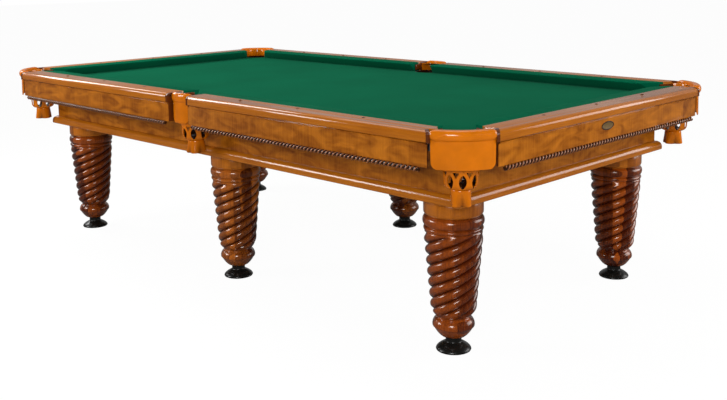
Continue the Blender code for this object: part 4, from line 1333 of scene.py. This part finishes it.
@kept
def figured_veneer():
    """Walnut veneer, sliced, laid leaf by leaf and lacquered: slanting, curling flames of dark and gold,
    faint upright streaks, leaves a hand wide that differ in tone, fine pores, and a thin even gloss. The
    pores are drawn at 1.6 mm, several times their real width, so that they show."""
    looks = bpy.context.scene.table_finishes
    material, shader = new_material(
        "walnut_veneer_lacquered",
        {"Roughness": 0.45, "Specular IOR Level": 0.0, "Coat Weight": 0.6, "Coat Roughness": 0.12},
    )
    place = add(material, "ShaderNodeTexCoord").outputs["Object"]
    axes = add(material, "ShaderNodeSeparateXYZ", links={"Vector": place})
    run = add(material, "ShaderNodeMath", {"operation": "ADD"}, {0: axes.outputs["X"], 1: axes.outputs["Y"]})
    flat = add(material, "ShaderNodeCombineXYZ", links={"X": run.outputs["Value"], "Z": axes.outputs["Z"]})
    leaf = add(
        material, "ShaderNodeTexVoronoi", {"voronoi_dimensions": "1D", "Scale": 1 / 0.11, "Randomness": 0.6},
        {"W": run.outputs["Value"]},
    )
    leaf_tone = add(material, "ShaderNodeSeparateColor", links={"Color": leaf.outputs["Color"]})
    streak_place = add(
        material, "ShaderNodeMapping", {"Scale": (1 / 0.008, 1.0, 1 / 0.12)},
        {"Vector": flat.outputs["Vector"]},
    )
    streak = add(
        material, "ShaderNodeTexNoise", {"Scale": 1.0, "Detail": 4.0, "Roughness": 0.55, "Distortion": 0.4},
        {"Vector": streak_place.outputs["Vector"]},
    )
    flame_place = add(
        material, "ShaderNodeMapping", {"Scale": (1 / 0.13, 1.0, 1 / 0.050), "Rotation": (0.0, 0.6, 0.0)},
        {"Vector": flat.outputs["Vector"]},
    )
    flame = add(
        material, "ShaderNodeTexNoise", {"Scale": 1.0, "Detail": 3.0, "Roughness": 0.45, "Distortion": 1.5},
        {"Vector": flame_place.outputs["Vector"]},
    )
    pore_place = add(
        material, "ShaderNodeMapping", {"Scale": (1 / 0.0016, 1.0, 1 / 0.018)},
        {"Vector": flat.outputs["Vector"]},
    )
    pore = add(
        material, "ShaderNodeTexNoise", {"Scale": 1.0, "Detail": 2.0},
        {"Vector": pore_place.outputs["Vector"]},
    )
    both = add(
        material, "ShaderNodeMath", {"operation": "MULTIPLY_ADD", 1: 0.38},
        {0: streak.outputs["Fac"], 2: flame.outputs["Fac"]},
    )
    leaved = add(
        material, "ShaderNodeMath", {"operation": "MULTIPLY_ADD", 1: 0.14},
        {0: leaf_tone.outputs["Red"], 2: both.outputs["Value"]},
    )
    pores_and_pleat_shade = add(
        material, "ShaderNodeMath", {"operation": "MULTIPLY_ADD", 1: 0.16},
        {0: pore.outputs["Fac"], 2: leaved.outputs["Value"]},
    )
    share = add(
        material, "ShaderNodeMapRange", {"From Min": 0.56, "From Max": 1.10}, {"Value": pores_and_pleat_shade.outputs["Value"]}
    )
    wood = add(
        material, "ShaderNodeMix",
        {"data_type": "RGBA", 6: opaque(looks.veneer_dark), 7: opaque(looks.veneer)},
        {0: share.outputs["Result"]},
    )
    bump = add(
        material, "ShaderNodeBump", {"Strength": 0.08, "Distance": 0.0003}, {"Height": pore.outputs["Fac"]}
    )
    feed(material, shader, base_color=wood.outputs[2], normal=bump.outputs["Normal"])
    return material


@kept
def stained_walnut():
    """Walnut, glued up from staves, turned, stained dark and lacquered to a high gloss: upright bands of tone
    where the staves meet, fine grain, painted shade between the strands, a lighter drum above them, a paler
    tone in the middle pair, a warm sheen from the fibres and white glints on every strand. The grain is
    coarser than the real one, 5 mm, so that it shows."""
    looks = bpy.context.scene.table_finishes
    material, shader = new_material(
        "walnut_turned_dark_gloss",
        {"Roughness": 0.36, "Specular IOR Level": 0.6, "Specular Tint": opaque(looks.honey),
         "Coat Weight": 1.0, "Coat Roughness": 0.16},
    )
    place = add(material, "ShaderNodeTexCoord").outputs["Object"]
    stave_place = add(
        material, "ShaderNodeMapping", {"Scale": (1 / 0.055, 1 / 0.055, 1 / 1.4)}, {"Vector": place}
    )
    stave = add(
        material, "ShaderNodeTexVoronoi", {"Scale": 1.0, "Randomness": 0.9},
        {"Vector": stave_place.outputs["Vector"]},
    )
    stave_tone = add(material, "ShaderNodeSeparateColor", links={"Color": stave.outputs["Color"]})
    grain_place = add(
        material, "ShaderNodeMapping", {"Scale": (1 / 0.005, 1 / 0.005, 1 / 0.09)}, {"Vector": place}
    )
    grain = add(
        material, "ShaderNodeTexNoise", {"Scale": 1.0, "Detail": 5.0, "Roughness": 0.6, "Distortion": 0.3},
        {"Vector": grain_place.outputs["Vector"]},
    )
    both = add(
        material, "ShaderNodeMath", {"operation": "MULTIPLY_ADD", 1: 0.65},
        {0: stave_tone.outputs["Red"], 2: grain.outputs["Fac"]},
    )
    share = add(
        material, "ShaderNodeMapRange", {"From Min": 0.50, "From Max": 1.20}, {"Value": both.outputs["Value"]}
    )
    apart = add(material, "ShaderNodeSeparateXYZ", links={"Vector": place})
    # The middle pair of legs is paler, set by their place along the table
    aside = add(material, "ShaderNodeMath", {"operation": "ABSOLUTE"}, {0: apart.outputs["X"]})
    paler = add(
        material, "ShaderNodeMapRange", {"From Min": 0.6, "From Max": 0.3}, {"Value": aside.outputs["Value"]}
    )
    board = add(
        material, "ShaderNodeMix", {"data_type": "RGBA", 6: opaque(looks.stain), 7: opaque(looks.stain_pale)},
        {0: paler.outputs["Result"]},
    )
    wood = add(
        material, "ShaderNodeMix", {"data_type": "RGBA", 6: opaque(looks.stain_dark)},
        {0: share.outputs["Result"], 7: board.outputs[2]},
    )
    drum_share = add(
        material, "ShaderNodeMapRange",
        {"From Min": DRUM_LOW - 0.002, "From Max": DRUM_LOW + 0.002, "To Max": 0.75},
        {"Value": apart.outputs["Z"]},
    )
    drum_wood = add(
        material, "ShaderNodeMix",
        {"data_type": "RGBA", 6: opaque(looks.honey_dark), 7: opaque(looks.honey)},
        {0: share.outputs["Result"]},
    )
    toned = add(
        material, "ShaderNodeMix", {"data_type": "RGBA"},
        {0: drum_share.outputs["Result"], 6: wood.outputs[2], 7: drum_wood.outputs[2]},
    )
    # Painted shade between the strands, the deeper the darker
    deep = add(material, "ShaderNodeAttribute", {"attribute_name": VALLEY})
    valley_shade = add(material, "ShaderNodeMath", {"operation": "POWER", 1: 2.5}, {0: deep.outputs["Fac"]})
    valley_shaded = add(
        material, "ShaderNodeMix", {"data_type": "RGBA", 7: opaque(looks.stain_dark)},
        {0: valley_shade.outputs["Value"], 6: toned.outputs[2]},
    )
    feed(material, shader, base_color=valley_shaded.outputs[2])
    return material


@kept
def rope_walnut():
    """Walnut, carved as a rope, stained brown and lacquered: strands with a glint on each, and painted shade,
    nearly black, in the gaps between them."""
    looks = bpy.context.scene.table_finishes
    material, shader = new_material(
        "walnut_carved_rope_dark",
        {"Roughness": 0.40, "Specular IOR Level": 0.0, "Coat Weight": 1.0, "Coat Roughness": 0.22},
    )
    place = add(material, "ShaderNodeTexCoord").outputs["Object"]
    tone = add(material, "ShaderNodeTexNoise", {"Scale": 1 / 0.012, "Detail": 4.0}, {"Vector": place})
    wood = add(
        material, "ShaderNodeMix",
        {"data_type": "RGBA", 6: opaque(looks.rope, 0.6), 7: opaque(looks.rope)},
        {0: tone.outputs["Fac"]},
    )
    # Painted shade, nearly black, in the gaps between the strands
    deep = add(material, "ShaderNodeAttribute", {"attribute_name": VALLEY})
    gap = add(
        material, "ShaderNodeMapRange", {"From Min": 0.15, "From Max": 0.60}, {"Value": deep.outputs["Fac"]}
    )
    valley_shaded = add(
        material, "ShaderNodeMix", {"data_type": "RGBA", 7: opaque(looks.rope, 0.08)},
        {0: gap.outputs["Result"], 6: wood.outputs[2]},
    )
    feed(material, shader, base_color=valley_shaded.outputs[2])
    return material


@kept
def wool_cloth():
    """Worsted wool cloth, woven, dyed green and stretched: a matt face with a faint nap that catches low
    light. The real threads are 0.4 mm apart, too fine to show, so the weave is drawn at 1.6 mm."""
    looks = bpy.context.scene.table_finishes
    material, shader = new_material(
        "wool_worsted_green", {
            "Roughness": 0.92,
            "Specular IOR Level": 0.0,
            "Sheen Weight": 0.04,
            "Sheen Roughness": 0.5,
            "Sheen Tint": opaque(linear("#7FC8A0")),
        },
    )
    place = add(material, "ShaderNodeTexCoord").outputs["Object"]
    weave = add(material, "ShaderNodeTexNoise", {"Scale": 1 / 0.0016, "Detail": 2.0}, {"Vector": place})
    nap = add(material, "ShaderNodeTexNoise", {"Scale": 1 / 0.35, "Detail": 3.0}, {"Vector": place})
    both = add(
        material, "ShaderNodeMath", {"operation": "MULTIPLY_ADD", 1: 0.3},
        {0: weave.outputs["Fac"], 2: nap.outputs["Fac"]},
    )
    share = add(
        material, "ShaderNodeMapRange", {"From Min": 0.45, "From Max": 0.85}, {"Value": both.outputs["Value"]}
    )
    dye = add(
        material, "ShaderNodeMix",
        {"data_type": "RGBA", 6: opaque(looks.cloth, 0.84), 7: opaque(looks.cloth)},
        {0: share.outputs["Result"]},
    )
    bump = add(
        material, "ShaderNodeBump", {"Strength": 0.25, "Distance": 0.0004}, {"Height": weave.outputs["Fac"]}
    )
    feed(material, shader, base_color=dye.outputs[2], normal=bump.outputs["Normal"])
    return material


@kept
def waxed_leather():
    """Cowhide, dyed tan, moulded over its form and waxed: warm orange with slow changes of tone, painted
    shade down in the pleats and on the inside of the net, a fine pebble grain, and a soft wet-looking gloss."""
    looks = bpy.context.scene.table_finishes
    material, shader = new_material(
        "leather_cowhide_tan_waxed",
        {"Roughness": 0.45, "Specular IOR Level": 0.0, "Coat Weight": 0.8, "Coat Roughness": 0.14},
    )
    place = add(material, "ShaderNodeTexCoord").outputs["Object"]
    tone = add(material, "ShaderNodeTexNoise", {"Scale": 1 / 0.05, "Detail": 4.0}, {"Vector": place})
    grain = add(material, "ShaderNodeTexVoronoi", {"Scale": 1 / 0.0014}, {"Vector": place})
    share = add(
        material, "ShaderNodeMapRange", {"From Min": 0.3, "From Max": 0.7}, {"Value": tone.outputs["Fac"]}
    )
    hide = add(
        material, "ShaderNodeMix",
        {"data_type": "RGBA", 6: opaque(looks.leather, 0.82), 7: opaque(looks.leather)},
        {0: share.outputs["Result"]},
    )
    # Painted shade on the inside of the net
    inside = add(material, "ShaderNodeAttribute", {"attribute_name": INSIDE_SHADE})
    inside_shaded = add(
        material, "ShaderNodeMix", {"data_type": "RGBA", 7: opaque(looks.leather_shade)},
        {0: inside.outputs["Fac"], 6: hide.outputs[2]},
    )
    deep = add(material, "ShaderNodeAttribute", {"attribute_name": VALLEY})
    # Painted shade down in the tail's pleats
    pleat_shade = add(material, "ShaderNodeMath", {"operation": "MULTIPLY", 1: 0.75}, {0: deep.outputs["Fac"]})
    pores_and_pleat_shade = add(
        material, "ShaderNodeMix", {"data_type": "RGBA", 7: opaque(looks.leather_shade)},
        {0: pleat_shade.outputs["Value"], 6: inside_shaded.outputs[2]},
    )
    bump = add(
        material, "ShaderNodeBump", {"Strength": 0.10, "Distance": 0.0003},
        {"Height": grain.outputs["Distance"]},
    )
    feed(material, shader, base_color=pores_and_pleat_shade.outputs[2], normal=bump.outputs["Normal"])
    return material


@kept
def bronzed_iron():
    """Cast iron, bronzed red-brown and lacquered: a dark skin with a faint cast texture and soft gloss."""
    looks = bpy.context.scene.table_finishes
    material, shader = new_material(
        "cast_iron_bronzed",
        {"Roughness": 0.40, "Specular IOR Level": 0.0, "Coat Weight": 0.7, "Coat Roughness": 0.14},
    )
    place = add(material, "ShaderNodeTexCoord").outputs["Object"]
    cast = add(material, "ShaderNodeTexNoise", {"Scale": 1 / 0.003, "Detail": 3.0}, {"Vector": place})
    tone = add(
        material, "ShaderNodeMix",
        {"data_type": "RGBA", 6: opaque(looks.iron, 0.6), 7: opaque(looks.iron)},
        {0: cast.outputs["Fac"]},
    )
    bump = add(
        material, "ShaderNodeBump", {"Strength": 0.15, "Distance": 0.0005}, {"Height": cast.outputs["Fac"]}
    )
    feed(material, shader, base_color=tone.outputs[2], normal=bump.outputs["Normal"])
    return material


@kept
def satin_brass():
    """Brass sheet, stamped, satin-brushed and left to age: a pale olive yellow with fine lines along its
    length and a dark tarnished edge. The real lines are too fine to show, so they are drawn at 0.6 mm."""
    looks = bpy.context.scene.table_finishes
    material, shader = new_material("brass_stamped_aged", {"Metallic": 0.6})
    place = add(material, "ShaderNodeTexCoord").outputs["Object"]
    line_place = add(
        material, "ShaderNodeMapping", {"Scale": (1.0, 1 / 0.02, 1 / 0.0006)}, {"Vector": place}
    )
    lines = add(
        material, "ShaderNodeTexNoise", {"Scale": 1.0, "Detail": 3.0},
        {"Vector": line_place.outputs["Vector"]},
    )
    rough = add(
        material, "ShaderNodeMapRange", {"To Min": 0.48, "To Max": 0.62}, {"Value": lines.outputs["Fac"]}
    )
    tone = add(
        material, "ShaderNodeMix",
        {"data_type": "RGBA", 6: opaque(looks.plate, 0.75), 7: opaque(looks.plate)},
        {0: lines.outputs["Fac"]},
    )
    edge = add(material, "ShaderNodeAttribute", {"attribute_name": TARNISH})
    aged = add(
        material, "ShaderNodeMix", {"data_type": "RGBA", 7: opaque(looks.tarnish)},
        {0: edge.outputs["Fac"], 6: tone.outputs[2]},
    )
    feed(material, shader, base_color=aged.outputs[2], roughness=rough.outputs["Result"])
    return material


@kept
def black_gloss_foot():
    """Steel, pressed and enamelled black: a deep gloss that is a little scuffed."""
    looks = bpy.context.scene.table_finishes
    material, shader = new_material(
        "steel_pressed_black_enamel",
        {"Specular IOR Level": 0.3, "Coat Weight": 0.2, "Coat Roughness": 0.1},
    )
    place = add(material, "ShaderNodeTexCoord").outputs["Object"]
    scuff = add(material, "ShaderNodeTexNoise", {"Scale": 1 / 0.008, "Detail": 5.0}, {"Vector": place})
    rough = add(
        material, "ShaderNodeMapRange", {"To Min": 0.22, "To Max": 0.42}, {"Value": scuff.outputs["Fac"]}
    )
    tone = add(
        material, "ShaderNodeMix",
        {"data_type": "RGBA", 6: opaque(looks.foot, 0.7), 7: opaque(looks.foot)},
        {0: scuff.outputs["Fac"]},
    )
    feed(material, shader, base_color=tone.outputs[2], roughness=rough.outputs["Result"])
    return material


@kept
def zinc_stud():
    """Steel, rolled with a 1.75 mm thread and zinc plated: bright grey crests, with painted shade down in the
    roots of the thread.
    """
    material, shader = new_material("steel_zinc_plated_thread", {"Metallic": 1.0})
    place = add(material, "ShaderNodeTexCoord").outputs["Object"]
    turns = 2 * math.pi / 0.00175 / 20
    thread = add(
        material, "ShaderNodeTexWave", {"bands_direction": "Z", "Scale": turns, "Distortion": 0.0},
        {"Vector": place},
    )
    # Light on the thread's crests and dark in its roots: painted shade
    tone = add(
        material, "ShaderNodeMix",
        {"data_type": "RGBA", 6: opaque(linear("#77787A")), 7: opaque(linear("#C9CACC"))},
        {0: thread.outputs["Fac"]},
    )
    rough = add(
        material, "ShaderNodeMapRange", {"To Min": 0.45, "To Max": 0.25}, {"Value": thread.outputs["Fac"]}
    )
    bump = add(
        material, "ShaderNodeBump", {"Strength": 0.6, "Distance": 0.001}, {"Height": thread.outputs["Fac"]}
    )
    feed(
        material, shader, base_color=tone.outputs[2], roughness=rough.outputs["Result"],
        normal=bump.outputs["Normal"],
    )
    return material


@kept
def honed_slate():
    """Slate, sawn and honed: blue-grey with faint cleavage clouds and a dry surface."""
    material, shader = new_material("slate_honed", {"Roughness": 0.7})
    place = add(material, "ShaderNodeTexCoord").outputs["Object"]
    cloud = add(material, "ShaderNodeTexNoise", {"Scale": 1 / 0.06, "Detail": 6.0}, {"Vector": place})
    tone = add(
        material, "ShaderNodeMix",
        {"data_type": "RGBA", 6: opaque(linear("#3E4145")), 7: opaque(linear("#5B5F64"))},
        {0: cloud.outputs["Fac"]},
    )
    bump = add(
        material, "ShaderNodeBump", {"Strength": 0.2, "Distance": 0.0004}, {"Height": cloud.outputs["Fac"]}
    )
    feed(material, shader, base_color=tone.outputs[2], normal=bump.outputs["Normal"])
    return material


@kept
def planed_pine():
    """Pine, planed and left bare: pale straw with darker year rings along the beam."""
    material, shader = new_material("pine_planed_bare", {"Roughness": 0.62})
    place = add(material, "ShaderNodeTexCoord").outputs["Object"]
    ring_place = add(
        material, "ShaderNodeMapping", {"Scale": (1 / 0.009, 1 / 0.5, 1 / 0.009)}, {"Vector": place}
    )
    rings = add(
        material, "ShaderNodeTexNoise", {"Scale": 1.0, "Detail": 3.0, "Distortion": 0.8},
        {"Vector": ring_place.outputs["Vector"]},
    )
    tone = add(
        material, "ShaderNodeMix",
        {"data_type": "RGBA", 6: opaque(linear("#A37C48")), 7: opaque(linear("#D3B27C"))},
        {0: rings.outputs["Fac"]},
    )
    bump = add(
        material, "ShaderNodeBump", {"Strength": 0.2, "Distance": 0.0005}, {"Height": rings.outputs["Fac"]}
    )
    feed(material, shader, base_color=tone.outputs[2], normal=bump.outputs["Normal"])
    return material


@kept
def rosewood_sight():
    """Rosewood dowel, let in, domed and oiled: a dark round with end grain, whose pores are drawn at 1.2 mm,
    coarser than the real ones, so that they show."""
    looks = bpy.context.scene.table_finishes
    material, shader = new_material("rosewood_dowel_oiled", {"Roughness": 0.5, "Specular IOR Level": 0.1})
    place = add(material, "ShaderNodeTexCoord").outputs["Object"]
    pores = add(material, "ShaderNodeTexNoise", {"Scale": 1 / 0.0012, "Detail": 2.0}, {"Vector": place})
    tone = add(
        material, "ShaderNodeMix",
        {"data_type": "RGBA", 6: opaque(looks.sight, 0.5), 7: opaque(looks.sight)},
        {0: pores.outputs["Fac"]},
    )
    feed(material, shader, base_color=tone.outputs[2])
    return material


class TABLE_OT_stage(bpy.types.Operator):
    """Sets the pale floor, the even daylight, the soft lamps and the camera"""
    bl_idname = "table.stage"
    bl_label = "Stage"

    def execute(self, context):
        settings = context.scene.table_stage
        self.camera(context.scene)
        self.floor(settings)
        self.daylight(context.scene, settings)
        self.lamps(context.scene, settings)
        context.scene.view_settings.view_transform = "Standard"
        return {"FINISHED"}

    def camera(self, scene):
        """The photograph's view: three quarters on to the near corner, from a little above the rails."""
        place = Vector((3.1015, -2.9039, 1.2723))
        azimuth, elevation, roll = math.radians(44.62), math.radians(7.47), math.radians(-0.76)
        level_back = Vector((math.sin(azimuth), -math.cos(azimuth), 0.0))
        back = level_back * math.cos(elevation) + Vector((0.0, 0.0, math.sin(elevation)))
        level = Vector((math.cos(azimuth), math.sin(azimuth), 0.0))
        upright = back.cross(level)
        right = level * math.cos(roll) + upright * math.sin(roll)
        data = bpy.data.cameras.new("photo_camera")
        data.sensor_width = 36.0
        data.lens = 47.68
        data.shift_y = -0.15
        camera = bpy.data.objects.new("photo_camera", data)
        scene.collection.objects.link(camera)
        turn = Matrix((right, back.cross(right), back)).transposed().to_4x4()
        camera.matrix_world = Matrix.Translation(place) @ turn
        scene.camera = camera

    def floor(self, settings):
        """A pale floor that shows white and still takes the table's shadow."""
        floor = begin("pale_floor", bpy.ops.mesh.primitive_plane_add, size=60.0)
        material, shader = new_material("floor_painted_pale", {"Roughness": 0.9, "Specular IOR Level": 0.1})
        shader.inputs["Base Color"].default_value = opaque(settings.floor)
        white_share, white_level = 0.93, 1.04
        path = add(material, "ShaderNodeLightPath")
        shown = add(
            material, "ShaderNodeMath", {"operation": "MAXIMUM"},
            {0: path.outputs["Is Camera Ray"], 1: path.outputs["Is Glossy Ray"]},
        )
        part = add(
            material, "ShaderNodeMath", {"operation": "MULTIPLY", 1: white_share}, {0: shown.outputs["Value"]}
        )
        level = add(
            material, "ShaderNodeMapRange", {"To Min": settings.mirrored_floor, "To Max": white_level},
            {"Value": path.outputs["Is Camera Ray"]},
        )
        white = add(material, "ShaderNodeEmission", links={"Strength": level.outputs["Result"]})
        mixed = add(
            material, "ShaderNodeMixShader",
            links={0: part.outputs["Value"], 1: shader.outputs["BSDF"], 2: white.outputs["Emission"]},
        )
        output = material.node_tree.nodes["Material Output"]
        material.node_tree.links.new(mixed.outputs["Shader"], output.inputs["Surface"])
        floor.data.materials.append(material)

    def daylight(self, scene, settings):
        """Even light from all round, which shows as white behind the table. Polish mirrors the bright wall
        behind the table and the dark room before it."""
        world = bpy.data.worlds.new("white_studio")
        world.use_nodes = True
        scene.world = world
        path = add(world, "ShaderNodeLightPath")
        seen = add(
            world, "ShaderNodeMath", {"operation": "MAXIMUM"},
            {0: path.outputs["Is Camera Ray"], 1: path.outputs["Is Transmission Ray"]},
        )
        place = add(world, "ShaderNodeTexCoord").outputs["Generated"]
        axes = add(world, "ShaderNodeSeparateXYZ", links={"Vector": place})
        behind = add(
            world, "ShaderNodeMath", {"operation": "SUBTRACT"}, {0: axes.outputs["Y"], 1: axes.outputs["X"]}
        )
        wall = add(
            world, "ShaderNodeMapRange",
            {"From Min": 0.0, "From Max": 1.2, "To Min": 0.05, "To Max": settings.mirrored},
            {"Value": behind.outputs["Value"]},
        )
        lit = add(
            world, "ShaderNodeMix", {"data_type": "FLOAT", 2: settings.daylight},
            {0: path.outputs["Is Glossy Ray"], 3: wall.outputs["Result"]},
        )
        strength = add(
            world, "ShaderNodeMix", {"data_type": "FLOAT", 3: 1.0},
            {0: seen.outputs["Value"], 2: lit.outputs[0]},
        )
        sky = world.node_tree.nodes["Background"]
        sky.inputs["Color"].default_value = (1.0, 1.0, 1.0, 1.0)
        world.node_tree.links.new(strength.outputs[0], sky.inputs["Strength"])

    def lamps(self, scene, settings):
        """Soft boxes: one overhead, and the others round the table, outside the picture. The large one at the
        end fills in without showing in the polish."""
        for name, place, size, power, mirrored in (
            ("overhead", (0.0, 0.2, 3.4), (3.2, 1.8), 38.0, True),
            ("left_box", (-2.65, -0.8, 2.3), (0.8, 2.2), 54.0, True),
            ("side_box", (-2.0, -3.1, 1.7), (1.3, 0.9), 50.0, True),
            ("front_box", (3.1, -4.2, 2.0), (1.4, 1.2), 95.0, True),
            ("end_box", (6.2, -0.4, 2.4), (3.0, 2.6), 120.0, False),
            ("right_box", (3.7, 3.5, 1.8), (3.2, 2.2), 92.0, True),
        ):
            data = bpy.data.lights.new(name, "AREA")
            data.shape = "RECTANGLE"
            data.size, data.size_y = size
            data.energy = power * settings.lamp
            lamp = bpy.data.objects.new(name, data)
            scene.collection.objects.link(lamp)
            lamp.visible_glossy = mirrored
            lamp.location = place
            aim = Vector((0.0, 0.0, 0.5)) - lamp.location
            lamp.rotation_euler = aim.to_track_quat("-Z", "Y").to_euler()


class TABLE_PT_panel(bpy.types.Panel):
    """The table's pieces and sizes"""
    bl_idname = "TABLE_PT_panel"
    bl_label = "Billiard table"
    bl_space_type = "VIEW_3D"
    bl_region_type = "UI"
    bl_category = "Billiard table"

    def draw(self, context):
        for group in GROUPS:
            box = self.layout.box()
            settings = getattr(context.scene, group)
            for name in settings.__annotations__:
                box.prop(settings, name)
        for operator in OPERATORS:
            self.layout.operator(operator.bl_idname)


GROUPS = {
    "table_rails": RailSizes,
    "table_base": BaseSizes,
    "table_legs": LegSizes,
    "table_pockets": PocketSizes,
    "table_finishes": Finishes,
    "table_stage": StageSettings,
}
OPERATORS = (
    TABLE_OT_stage,
    TABLE_OT_rails,
    TABLE_OT_cushions,
    TABLE_OT_bed,
    TABLE_OT_base,
    TABLE_OT_ropes,
    TABLE_OT_legs,
    TABLE_OT_feet,
    TABLE_OT_irons,
    TABLE_OT_leathers,
    TABLE_OT_plate,
    TABLE_OT_sights,
)


def register():
    for group in GROUPS.values():
        bpy.utils.register_class(group)
    for name, group in GROUPS.items():
        setattr(bpy.types.Scene, name, PointerProperty(type=group))
    for operator in OPERATORS:
        bpy.utils.register_class(operator)
    bpy.utils.register_class(TABLE_PT_panel)


def unregister():
    bpy.utils.unregister_class(TABLE_PT_panel)
    for operator in reversed(OPERATORS):
        bpy.utils.unregister_class(operator)
    for name, group in GROUPS.items():
        delattr(bpy.types.Scene, name)
        bpy.utils.unregister_class(group)


def main():
    register()
    for operator in OPERATORS:
        group, name = operator.bl_idname.split(".")
        getattr(getattr(bpy.ops, group), name)()


if __name__ == "__main__":
    main()
